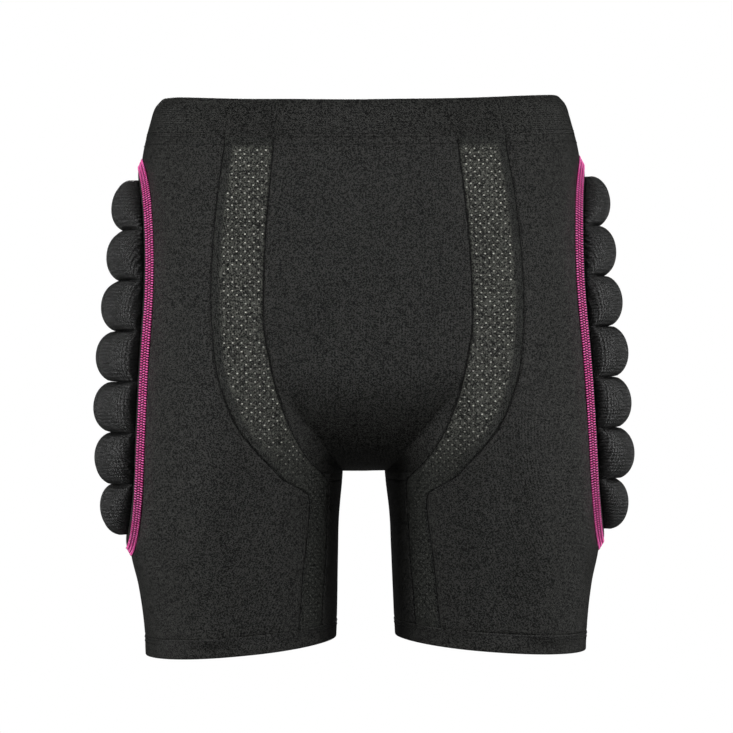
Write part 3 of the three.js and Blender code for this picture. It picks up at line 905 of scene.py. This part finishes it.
# %% Grooves and waves of a band
GROOVE_DEPTH = 0.7
GROOVE_HALF_WIDTH = 0.8


def groove(z, count):
    """How deep the seams lie in the waistband at each place of its ring."""
    row = level(z)
    if row.is_leg:
        return np.zeros(count)
    arcs = ring_arcs(row, count)
    top = level(-LENGTH * SEAMS[0, 0])
    depth = np.zeros(len(arcs))
    for column in (1, 2):
        at = row.front_arc(HALF_WIDTH * SEAMS[0, column] * row.side / top.side)
        depth += GROOVE_DEPTH * np.exp(-(((arcs - at) / GROOVE_HALF_WIDTH) ** 2))
    return np.concatenate([depth, depth[::-1][1:-1]])


def outward(ring):
    ahead = np.roll(ring, -1, axis=0) - np.roll(ring, 1, axis=0)
    n = np.stack([ahead[:, 1], -ahead[:, 0], np.zeros(len(ring))], axis=1)
    return n / np.linalg.norm(n, axis=1)[:, None]


def ring_lift(ring, z, wave):
    """Gentle waves of a band, which pass into the folds of the panels at the seam."""
    seam_z = HEM_TOP if z < FORK_Z else -BAND_HEIGHT
    near = float(ease(-abs(z - seam_z), -10, 0)) if (z > seam_z) == (seam_z > FORK_Z) else 1.0
    waves = rough(ring[None], (24, 24, 40), wave, 8.0)[0]
    return waves * (1 - near) + np.clip(folds(ring[None])[0], FOLD_LOW, FOLD_HIGH) * near


# %% The folded band
def folded_band(name, profile, count, material, wave, side=1):
    """profile lists (height, offset) pairs round the band, and closes on itself."""
    lines = []
    for z, offset in profile:
        ring = ring_points(z, count)
        ripple = ring_lift(ring * np.array([side, 1, 1]), z, wave)
        sunk = groove(z, count) if offset > -0.8 else 0
        line = ring + outward(ring) * (offset + ripple - sunk)[:, None]
        if z > -10:
            flat_ring = ring[None] * np.array([1, 1, 0])
            line[:, 2] += 0.5 * rough(flat_ring, (60, 60, 60), 1.0, 2.0)[0]
        lines.append(np.concatenate([line, line[:1]]))
    lines = np.array([*lines, lines[0]])
    return link(name, bent_grid(lines if side > 0 else other_side(lines)), material)


def band_profile(top, bottom, thick, proud, fold_at_top, edge=0.25):
    """The flush edge meets the panels. The fold is rounded."""
    half = thick / 2
    turn = [math.radians(a) for a in (0, 30, 60, 90, 120, 150, 180)]
    sign = 1 if fold_at_top else -1
    fold_z = (top - half) if fold_at_top else (bottom + half)
    far = bottom if fold_at_top else top
    fold = [(fold_z + sign * half * math.sin(a), proud - half + half * math.cos(a)) for a in turn]
    out = [(z, proud) for z in np.linspace(far + sign * 0.6, fold_z, 14)[:-1]]
    back = [(z, proud - thick) for z in np.linspace(fold_z, far, 7)[1:]]
    profile = [(far, proud - edge)] + out + fold + back
    return profile if fold_at_top else profile[::-1]


# %% Waistband and hems
WAIST_POINTS, WAIST_WAVE = 240, 0.4
HEM_POINTS, HEM_WAVE = 150, 0.3
waist_profile = band_profile(0, -BAND_HEIGHT, 2.2, 0.12, True, 0.05)
waist = folded_band("waistband", waist_profile, WAIST_POINTS, band_cloth, WAIST_WAVE)
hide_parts("waistband")
hem_profile = band_profile(HEM_TOP, -LENGTH, 1.6, 0.1, False)
for name, side in (("hem_right", 1), ("hem_left", -1)):
    hem = folded_band(name, hem_profile, HEM_POINTS, black_cloth, HEM_WAVE, side)
    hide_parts(name)
print(len(made), "pieces so far")

# %% [markdown]
# ## Stitches
# Rows of thread hold the folded edges down, and every seam shows its stitches. They could be a
# pattern in the material, but thread stands off the cloth and catches the light. One stitch is a
# small stretched ball with few faces, and lines of them follow a path on the cloth.

# %% A mesh with the layers that the materials read
def layered():
    bm = bmesh.new()
    bm.loops.layers.uv.new("cloth")
    bm.verts.layers.float.new("tone")
    return bm


def to_mesh(bm, name):
    mesh = bpy.data.meshes.new(name)
    bm.to_mesh(mesh)
    bm.free()
    return mesh


def stitch_mesh(length, width, height):
    bm = layered()
    bmesh.ops.create_uvsphere(bm, u_segments=6, v_segments=4, radius=0.5)
    turn = Matrix.Rotation(math.pi / 2, 4, "Y")
    size = Matrix.Diagonal((length * MM, width * MM, height * MM, 1))
    bmesh.ops.transform(bm, matrix=size @ turn, verts=bm.verts[:])
    return to_mesh(bm, "stitch")


# %% Copies of a small mesh
def placed(at, ahead, normal):
    """Frame with X along the stitch and Z off the cloth."""
    x = Vector(ahead).normalized()
    z = Vector(normal)
    z = (z - x * z.dot(x)).normalized()
    y = z.cross(x)
    m = Matrix((x, y, z)).transposed().to_4x4()
    m.translation = Vector(at) * MM
    return m


def copies(bm, mesh, frames, tones=None):
    for n, m in enumerate(frames):
        one = mesh.copy()
        one.transform(m)
        if tones is not None:
            one.attributes["tone"].data.foreach_set("value", [tones[n]] * len(one.vertices))
        bm.from_mesh(one)
        bpy.data.meshes.remove(one)


# %% Paths on the cloth
def surface_frame(z, arc):
    """Point, outward direction and sideways direction of the cloth."""
    row = level(z)
    near = level(z - 1.5)
    shift = arc - row.side_arc
    here = row.at(arc)
    side = row.at(arc + 1.0) - row.at(arc - 1.0)
    if near.is_leg == row.is_leg:
        down = near.at(near.side_arc + shift) - here
    else:
        down = np.array([0, 0, -1.5])
    normal = np.cross(down, side)
    return here, normal / np.linalg.norm(normal), side / np.linalg.norm(side)


def walk(path, pitch):
    """Evenly spaced places along a path of points, with the direction at each."""
    path = np.asarray(path, float)
    steps = np.linalg.norm(np.diff(path, axis=0), axis=1)
    length = np.concatenate([[0], np.cumsum(steps)])
    count = max(int(length[-1] / pitch), 1)
    where = (np.arange(count) + 0.5) * length[-1] / count
    places = np.stack([np.interp(where, length, path[:, k]) for k in range(3)], axis=1)
    beyond = np.stack([np.interp(where + 0.4, length, path[:, k]) for k in range(3)], axis=1)
    index = np.interp(where, length, np.arange(len(path)))
    return places, beyond - places, np.round(index).astype(int)


# %% Lines of stitches
def stitch_line(bm, path, normals, mesh, pitch, raise_by):
    places, ahead, index = walk(path, pitch)
    normals = np.asarray(normals)
    frames = []
    for p, a, k in zip(places, ahead, index):
        if np.linalg.norm(a) < 1e-6:
            continue
        frames.append(placed(p + normals[k] * raise_by, a, normals[k]))
    copies(bm, mesh, frames)


def ring_path(z, count, offset, wave, side=1):
    ring = ring_points(z, count)
    normal = outward(ring)
    flip = np.array([side, 1, 1])
    line = ring + normal * (offset + ring_lift(ring * flip, z, wave))[:, None]
    line, normal = line * flip, normal * flip
    return np.concatenate([line, line[:1]]), np.concatenate([normal, normal[:1]])


# %% Stitches of the waistband and hems
STITCH_LIFT = 0.15
BAND_PITCH, HEM_PITCH = 3.2, 3.4
BAND_STITCH_HEIGHTS = (-27.0, -36.0)
HEM_STITCH_HEIGHTS = (HEM_TOP - 1.6, HEM_TOP - 4.6)
long_stitch = stitch_mesh(2.4, 0.6, 0.5)
bm = bmesh.new()
for z in BAND_STITCH_HEIGHTS:
    path, normals = ring_path(z, WAIST_POINTS, STITCH_LIFT, WAIST_WAVE)
    stitch_line(bm, path, normals, long_stitch, BAND_PITCH, 0)
link("waistband_stitches", bm, thread)

for name, side in (("hem_stitches_right", 1), ("hem_stitches_left", -1)):
    bm = bmesh.new()
    for z in HEM_STITCH_HEIGHTS:
        path, normals = ring_path(z, HEM_POINTS, STITCH_LIFT, HEM_WAVE, side)
        stitch_line(bm, path, normals, long_stitch, HEM_PITCH, 0)
    link(name, bm, thread)
print(len(made), "pieces so far")


# %% Stitches of the seams
def seam_path(edge_of, rows, mirror):
    path, normals = [], []
    for z in rows:
        here, normal, _ = surface_frame(z, edge_of(level(z)))
        if mirror:
            here, normal = here * MIRROR, normal * MIRROR
        path.append(here)
        normals.append(normal)
    path, normals = np.array(path), np.array(normals)
    return path + normals * folds(path[None])[0][:, None], normals


SEAM_PITCH = 2.6
SEAM_SINK = 0.35
short_stitch = stitch_mesh(2.3, 0.9, 0.5)
seam_rows = [z for z in all_rows if z < -BAND_HEIGHT - 1]
for side in ("right", "left"):
    bm = bmesh.new()
    for edge_of in (inner_seam, outer_seam, seat_seam):
        path, normals = seam_path(edge_of, seam_rows, side == "left")
        stitch_line(bm, path, normals, short_stitch, SEAM_PITCH, -SEAM_SINK)
    link("seam_stitches_" + side, bm, thread)
print("Stitch faces", sum(len(o.data.polygons) for o in made if "stitch" in o.name))

# %% [markdown]
# ## Pink flat seam
# The one bright line of the shorts is a flat seam, sewn by a machine with many needles. A plain
# pink strip would look like tape. So three rows of short threads lie across a dark bed, like
# the rungs of a ladder, and each thread is set square to the line of the seam. The left seam is
# the right one mirrored.

# %% The other side of the body
def node_of(obj):
    """The CAD solid with the same name."""
    return obj.name.removeprefix("soft_")


def mirrored(obj, name):
    """The same piece on the other side of the body."""
    bm = bmesh.new()
    bm.from_mesh(obj.data)
    bmesh.ops.transform(bm, matrix=Matrix.Scale(-1, 4, (1, 0, 0)), verts=bm.verts[:])
    bmesh.ops.reverse_faces(bm, faces=bm.faces[:])
    twin = link(name, bm, obj.data.materials[0])
    for m in obj.modifiers:
        copy = twin.modifiers.new(m.name, m.type)
        if m.type == "SOLIDIFY":
            copy.thickness, copy.offset = m.thickness, m.offset
    return twin


# %% A path round the oval
def oval_path(grow, count=300):
    places, normals, fronts = [], [], []
    for a in np.linspace(0, 2 * math.pi, count + 1):
        s, c = math.sin(a), math.cos(a)
        power = 2 / (OVAL_ROUND_TOP if c > 0 else OVAL_ROUND_BOTTOM)
        up = math.copysign(abs(c) ** power, c) * (OVAL_HALF_HEIGHT + grow)
        half = (OVAL_BACK if s < 0 else OVAL_FRONT) + grow
        out = math.copysign(abs(s) ** power, s) * half
        row = level(-OVAL_MIDDLE + up)
        here, normal, _ = surface_frame(row.z, row.side_arc - out)
        places.append(here)
        normals.append(normal)
        fronts.append(float(front_share(out)))
    return np.array(places), np.array(normals), np.array(fronts)[:, None]


# %% Both edges of the seam, and the way it faces
PINK_TRIM = 1.2
pad_side, pad_normals, raised = oval_path(-PINK_WIDTH / 2 + PINK_TRIM)
leg_side, leg_normals, _ = oval_path(PINK_WIDTH / 2)
pad_side = pad_side + pad_normals * PINK_TILT * raised
band_across = leg_side - pad_side
band_ahead = np.roll(leg_side, -1, axis=0) - np.roll(leg_side, 1, axis=0)
band_ahead[0] = band_ahead[-1] = leg_side[1] - leg_side[-2]
band_normals = np.cross(band_ahead, band_across)
band_normals /= np.linalg.norm(band_normals, axis=1)[:, None]
flip = np.sign(np.sum(band_normals * leg_normals, axis=1))[:, None]
band_normals = band_normals * flip


def band_line(share, lift):
    """A line along the seam: share runs from -1 at the pad to 1 at the leg panel."""
    side = (1 + share) / 2
    return pad_side * (1 - side) + leg_side * side + band_normals * lift


# %% The dark bed
BED = ((-1, -0.9), (-0.94, 0.0), (-0.5, 0.25), (0, 0.3), (0.5, 0.25), (0.94, 0.0), (1, -0.9))
BED_WALL = 0.8
bed_lines = np.array([band_line(share, lift) for share, lift in BED])
bed_obj = thicken(link("side_seam_bed_right", bent_grid(bed_lines), seam_bed), BED_WALL)
bed_twin = mirrored(bed_obj, "side_seam_bed_left")
print("Bed", len(bed_obj.data.polygons), "faces a side")

# %% The threads across it
RUNG_PITCH = 1.95
RUNG_LIFT = 0.42
rung = stitch_mesh(2.6, 0.95, 0.75)
middle_rung = stitch_mesh(2.2, 0.95, 0.7)
bm = bmesh.new()
for share, mesh, lean in ((-0.66, rung, 0.12), (0.0, middle_rung, -0.25), (0.66, rung, 0.12)):
    frames = []
    for p, a, k in zip(*walk(band_line(share, RUNG_LIFT), RUNG_PITCH)):
        a = a / max(np.linalg.norm(a), 1e-9)
        across = band_across[k] - a * band_across[k].dot(a)
        across /= np.linalg.norm(across)
        frames.append(placed(p, across + lean * a, band_normals[k]))
    copies(bm, mesh, frames)
pink_obj = link("side_seam_right", bm, pink)
pink_twin = mirrored(pink_obj, "side_seam_left")
for obj in (pink_obj, pink_twin):
    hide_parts(node_of(obj))
print("Pink seam", len(pink_obj.data.polygons), "faces a side")

# %% [markdown]
# ## Eyelets
# The perforated panels let air through small holes in staggered rows, clear of both seams. Holes
# cut into the cloth would need a very fine mesh. So each is a pale floor, the inside seen
# through it, with a rim of knit round it that dips in.

# %% The floor and the rim of one eyelet
EYELET_CORNERS = 8
EYELET_WIDTH = 1.5
EYELET_HEIGHT = 1.1


def eyelet_meshes():
    floor, rim = layered(), layered()
    bmesh.ops.create_circle(floor, cap_ends=True, radius=0.5, segments=EYELET_CORNERS)
    bmesh.ops.create_circle(rim, cap_ends=True, radius=0.66, segments=EYELET_CORNERS)
    bmesh.ops.inset_region(rim, faces=rim.faces[:], thickness=0.13, depth=0, use_boundary=True)
    centre = [f for f in rim.faces if len(f.verts) == EYELET_CORNERS]
    bmesh.ops.inset_region(rim, faces=centre, thickness=0.05, depth=-0.2)
    centre = [f for f in rim.faces if len(f.verts) == EYELET_CORNERS]
    bmesh.ops.delete(rim, geom=centre, context="FACES")
    size = Matrix.Diagonal((EYELET_WIDTH * MM, EYELET_HEIGHT * MM, MM, 1))
    for bm in (floor, rim):
        bmesh.ops.transform(bm, matrix=size, verts=bm.verts[:])
    return to_mesh(floor, "eyelet_floor"), to_mesh(rim, "eyelet_rim")


floor_mesh, rim_mesh = eyelet_meshes()
print("One eyelet", len(floor_mesh.polygons) + len(rim_mesh.polygons), "faces")

# %% Places of the eyelets
EYELET_TOP = -40.5
EYELET_ACROSS = 6.5
EYELET_DOWN = 3.2


def eyelet_places(mirror):
    frames, tones = [], []
    line = 0
    z = EYELET_TOP
    while z > HEM_TOP + 4:
        row = level(z)
        low, high = open_limits(row)
        start = row.front_arc(0.40 * HALF_WIDTH) + (EYELET_ACROSS / 2 if line % 2 else 0)
        first = math.ceil((low + 0.8 - start) / EYELET_ACROSS)
        last = math.floor((high - 0.6 - start) / EYELET_ACROSS)
        for k in range(first, last + 1):
            here, normal, side = surface_frame(z, start + k * EYELET_ACROSS)
            if mirror:
                here, normal = here * MIRROR, normal * MIRROR
                side = -side * MIRROR
            seed = Vector((k * 1.7 + 11.3, line * 2.3, 5.0 if mirror else 0.0))
            chance = 0.5 + 0.9 * noise.noise(seed * 0.73)
            lift = float(folds(here[None, None])[0][0])
            frames.append(placed(here + normal * (lift + 0.1), side, normal))
            tones.append((0.12 + 0.88 * min(max(chance, 0), 1)) * (1 - 0.93 * leg_share(z)))
        z -= EYELET_DOWN
        line += 1
    return frames, tones


# %% Eyelets on both sides
for side in ("right", "left"):
    frames, tones = eyelet_places(side == "left")
    floors, rims = layered(), layered()
    copies(floors, floor_mesh, frames, tones)
    copies(rims, rim_mesh, frames, [0.4] * len(frames))
    link("eyelets_" + side, floors, pale, smooth=False)
    link("eyelet_rims_" + side, rims, net_cloth)
print(len(frames), "eyelets a side")

# %% [markdown]
# ## Puffed pads
# A pad is foam under ribbed knit, sewn down in rows so that it bends with the body. Balls side
# by side would look like separate pieces. So one skin is crowned over each cell. Cells press
# against each other, which makes the valleys deep and narrow, and small puckers run into them.
# The formula gives the shape a start, and a short cloth simulation then swells it.

# %% Sizes of the pads
PAD_MARGIN = 3
PAD_MARGIN_FRONT = 8
HIP_PAD_TOP = 63
HIP_PAD_BOTTOM = 331
HIP_PAD_HEIGHT = 22
HIP_PAD_ROWS = [0.85, 0.82, 0.95, 1, 1, 0.96, 0.8]
TAIL_PAD_TOP = 62
TAIL_PAD_BOTTOM = 182
TAIL_PAD_HALF_WIDTH = 31
SEAT_PAD_TOP = 126
SEAT_PAD_BOTTOM = 258
SEAT_PAD_INNER = 38
SEAT_PAD_OUTER = 112
SEAT_PAD_SHIFT = 14
BACK_PAD_HEIGHT = 16
print("Hip pad", HIP_PAD_BOTTOM - HIP_PAD_TOP, "mm high,", len(HIP_PAD_ROWS), "rows of cells")


# %% The crown of a cell
CROWN_POWER = 3.0
RIM_FLOOR = 1.5
VALLEY_FLOOR = 3.6
SEWN_EDGE = 0.3


def crown(t):
    return np.sqrt(np.maximum(1 - np.abs(2 * t - 1) ** CROWN_POWER, 0))


def pucker(across, along_it, waves, height, reach, wander):
    """Small folds that run into a valley and die out away from it."""
    near = 4 * across * (1 - across)
    wave = math.sin(2 * math.pi * (along_it * waves + wander + 0.3 * math.sin(across * 9)))
    return height * wave * math.exp(-((near / reach) ** 2))


def cell_lift(a, d, columns, heights, seed):
    """Height of the skin at a place counted in cells, a across and d down."""
    rows = len(heights)
    r, c = min(int(d + 1e-6), rows - 1), min(int(a + 1e-6), columns - 1)
    ta, td = a - c, d - r
    dome = float(crown(ta) * crown(td))
    size = 1 + 0.10 * noise.noise(Vector((c * 3.1 + 0.7, r * 2.7 + 0.3, seed)))
    wander = noise.noise(Vector((r * 1.7, c * 1.3, seed)))
    lump = 0.5 * noise.noise(Vector((a * 2.3, d * 2.3, seed + 3)))
    uneven = lump + pucker(ta, td, 8, 0.5, 0.4, wander) + pucker(td, ta, 7, 0.55, 0.45, wander)
    rim = min(a, columns - a) < 0.5 or min(d, rows - d) < 0.5
    at_valley = min(4 * ta * (1 - ta), 4 * td * (1 - td)) < 0.6
    floor = RIM_FLOOR if rim and at_valley else VALLEY_FLOOR
    return floor * (1 - dome) + heights[r] * size * dome + uneven * min(dome * 4, 1), ta, td


# %% The skin of a pad
def pad_table(columns, heights, per_cell, spot, seed):
    """Points, lift, flat place and room to the edge of the cell, in mm."""
    rows = len(heights)
    fine = 0.5 - 0.5 * np.cos(np.linspace(0, math.pi, per_cell + 1))
    fine = 0.6 * fine + 0.4 * np.linspace(0, 1, per_cell + 1)
    across = np.concatenate([c + fine[:-1] for c in range(columns)] + [[columns]])
    down = np.concatenate([r + fine[:-1] for r in range(rows)] + [[rows]])
    spots = [[spot(a / columns, d / rows) for a in across] for d in down]
    points = np.array([[place for place, _ in line] for line in spots])
    uv = np.array([[flat for _, flat in line] for line in spots])
    cell = [abs(uv[0][-1] - uv[-1][0])[1] / rows, np.ptp(uv[len(down) // 2, :, 0]) / columns]
    lift, room = np.zeros(points.shape[:2]), np.zeros(points.shape[:2])
    for j, d in enumerate(down):
        for i, a in enumerate(across):
            lift[j][i], ta, td = cell_lift(a, d, columns, heights, seed)
            room[j][i] = min(min(ta, 1 - ta) * cell[1], min(td, 1 - td) * cell[0])
    lift[0, :] = lift[-1, :] = lift[:, 0] = lift[:, -1] = SEWN_EDGE
    return points, lift, uv, room


# %% Where the pads lie
def hip_spot(u, w):
    z = -(HIP_PAD_TOP + (HIP_PAD_BOTTOM - HIP_PAD_TOP) * w)
    inset = -PINK_WIDTH / 2 - PAD_MARGIN
    front_inset = -PINK_WIDTH / 2 - PAD_MARGIN_FRONT
    share = (z + OVAL_MIDDLE) / (OVAL_HALF_HEIGHT + inset)
    ahead, behind = oval(share, OVAL_FRONT, front_inset), oval(share, OVAL_BACK, inset)
    row = level(round(z, 1))
    shift = (ahead + behind) * u - ahead
    return row.at(row.side_arc + shift), (shift, -z)


def tail_spot(u, w):
    z = -(TAIL_PAD_TOP + (TAIL_PAD_BOTTOM - TAIL_PAD_TOP) * w)
    x = TAIL_PAD_HALF_WIDTH * (1 - 2 * u)
    row = level(round(z, 1))
    place = row.at(row.back_arc(abs(x)))
    return place if x >= 0 else place * MIRROR, (-x, -z)


def seat_spot(u, w):
    z = -(SEAT_PAD_TOP + (SEAT_PAD_BOTTOM - SEAT_PAD_TOP) * w)
    bow = 4 * w * (1 - w)
    outer_x = SEAT_PAD_OUTER - SEAT_PAD_SHIFT * (1 + 1.2 * w) * (1 - bow)
    inner_x = SEAT_PAD_INNER - SEAT_PAD_SHIFT * 0.8 * w
    row = level(round(z, 1))
    x = outer_x + (inner_x - outer_x) * u
    return row.at(row.back_arc(x)), (-x, -z)


# %% A short cloth simulation
AIR_PRESSURE = 8000  # high, because each point of these fine grids gets only a small share of it
AIR_FRAMES = 20
POINT_MASS = 0.002
STRETCH = 2
SEWN_ROOM = 0.2
AIR_CAP = 3.5


def inflate(obj):
    """Swell the cells. The points of the vertex group called sewn are held."""
    air = obj.modifiers.new("air", "CLOTH")
    air.settings.vertex_group_mass = "sewn"
    air.settings.use_pressure = True
    air.settings.uniform_pressure_force = AIR_PRESSURE
    air.settings.mass = POINT_MASS
    air.settings.tension_stiffness = air.settings.compression_stiffness = STRETCH
    air.settings.shear_stiffness = STRETCH
    air.settings.effector_weights.gravity = 0
    air.point_cache.frame_start, air.point_cache.frame_end = 1, AIR_FRAMES
    for frame_number in range(1, AIR_FRAMES + 1):
        scene.frame_set(frame_number)
    graph = bpy.context.evaluated_depsgraph_get()
    end = np.empty(len(obj.data.vertices) * 3)
    obj.evaluated_get(graph).data.vertices.foreach_get("co", end)
    obj.modifiers.remove(air)
    scene.frame_set(1)
    return end


def fill_with_air(obj):
    """Each point moves as the simulation says, but not far past the edge of its cell."""
    mesh = obj.data
    start, room = np.empty(len(mesh.vertices) * 3), np.empty(len(mesh.vertices))
    mesh.vertices.foreach_get("co", start)
    mesh.attributes["tone"].data.foreach_get("value", room)
    sewn = obj.vertex_groups.new(name="sewn")
    sewn.add([int(i) for i in np.flatnonzero(room < SEWN_ROOM)], 1.0, "REPLACE")
    move = (inflate(obj) - start).reshape(-1, 3)
    obj.vertex_groups.clear()
    length = np.linalg.norm(move, axis=1)
    mean, largest = round(float(length.mean()) / MM, 2), round(float(length.max()) / MM, 2)
    print(obj.name, "moves", mean, "mm on average,", largest, "before the limit of", AIR_CAP)
    most = np.minimum(AIR_CAP, 0.8 * room) * MM
    move *= (np.minimum(length, most) / np.maximum(length, 1e-9))[:, None]
    mesh.vertices.foreach_set("co", start + move.ravel())
    mesh.update()


# %% The five pads
FLAT_START = 0.95
PAD_WALL = 1.0


def pad(name, columns, heights, per_cell, spot, seed):
    low = FLAT_START
    points, lift, uv, room = pad_table(columns, [h * low for h in heights], per_cell, spot, seed)
    obj = link(name, bent_grid(points, lift, uv, room), pad_cloth)
    fill_with_air(obj)
    return thicken(obj, PAD_WALL)


def finish_pad(node):
    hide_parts(node)


hip = pad("hip_pad_right", 3, [HIP_PAD_HEIGHT * s for s in HIP_PAD_ROWS], 20, hip_spot, 1.0)
hip_twin = mirrored(hip, "hip_pad_left")
seat = pad("seat_pad_right", 2, [BACK_PAD_HEIGHT] * 4, 18, seat_spot, 5.0)
seat_twin = mirrored(seat, "seat_pad_left")
tail = pad("tailbone_pad", 2, [BACK_PAD_HEIGHT] * 4, 18, tail_spot, 9.0)
for obj in (hip, hip_twin, seat, seat_twin, tail):
    finish_pad(node_of(obj))
print("Hip pad", len(hip.data.polygons), "faces in its skin")

# %% [markdown]
# ## Floor, light and camera
# Black cloth on white shows its form only through soft highlights. One big soft box would flatten
# it, so a few small lamps stand close, where light falls off fast and rounds the body. The white
# round the shorts is seen by the camera but hardly lights them, and the same goes for the floor,
# which has a lamp of its own.

# %% Floor
bm = bmesh.new()
bmesh.ops.create_grid(bm, x_segments=1, y_segments=1, size=3)
floor_look = Look("pale_floor", 0.9)
floor_look.feed("Base Color", (0.9, 0.9, 0.9, 1))
mesh = to_mesh(bm, "floor")
mesh.materials.append(floor_look.material)
floor = bpy.data.objects.new("floor", mesh)
floor.location = (0, 0, -1.0)
floor.visible_diffuse = floor.visible_glossy = False
scene.collection.objects.link(floor)

# %% White surroundings
SURROUND = 0.05
world = bpy.data.worlds.new("white")
scene.world = world
world.use_nodes = True
sky = Nodes(world.node_tree)
seen = sky.node("ShaderNodeLightPath").outputs["Is Camera Ray"]
bright = sky.node("ShaderNodeMapRange", {"Value": seen, "To Min": SURROUND, "To Max": 1.0})
background = sky.tree.nodes["Background"]
sky.wire(background, {"Color": (1, 1, 1, 1), "Strength": bright.outputs["Result"]})


# %% Lamps
def lamp(name, at, size, power, aim):
    """Places in metres, power in watts."""
    data = bpy.data.lights.new(name, "AREA")
    data.shape = "DISK"
    data.size = size
    data.energy = power
    obj = bpy.data.objects.new(name, data)
    obj.location = at
    obj.rotation_mode = "QUATERNION"
    obj.rotation_quaternion = (Vector(aim) - Vector(at)).to_track_quat("-Z", "Y")
    scene.collection.objects.link(obj)


lamp("key", (0.0, -0.5, 0.72), 0.4, 5.5, (0, 0, -0.1))
lamp("left", (-0.78, -0.32, -0.2), 0.35, 4.6, (-0.1, 0, -0.25))
lamp("right", (0.82, -0.29, -0.2), 0.35, 5, (0.1, 0, -0.25))
lamp("low", (0.0, -1.0, -0.7), 0.4, 2.2, (0, -0.05, -0.27))
lamp("back", (0.0, 1.0, 0.3), 0.5, 7, (0, 0, -0.2))
lamp("floor_lamp", (0, 0, -0.6), 9, 190, (0, 0, -1))
print(len(bpy.data.lights), "lamps")

# %% Camera
DISTANCE = 2.6
YAW = math.radians(2.3)
TILT = math.radians(0.6)
IMAGE_WIDTH = 733
PIXEL = 0.768 * MM
SENSOR = 36
target = Vector((0.0028, 0.0, -0.206))
camera_data = bpy.data.cameras.new("camera")
camera = bpy.data.objects.new("camera", camera_data)
scene.collection.objects.link(camera)
scene.camera = camera
camera_data.sensor_width = SENSOR
camera_data.lens = SENSOR * DISTANCE / (IMAGE_WIDTH * PIXEL)
camera.location = target + Vector((-math.sin(YAW), -math.cos(YAW), 0)) * DISTANCE
camera.rotation_mode = "QUATERNION"
look_at = (target - camera.location).to_track_quat("-Z", "Y")
camera.rotation_quaternion = look_at @ Matrix.Rotation(-TILT, 4, "Z").to_quaternion()
camera_data.clip_end = 50
scene.view_settings.view_transform = "Standard"
print("Lens", round(camera_data.lens, 1), "mm")
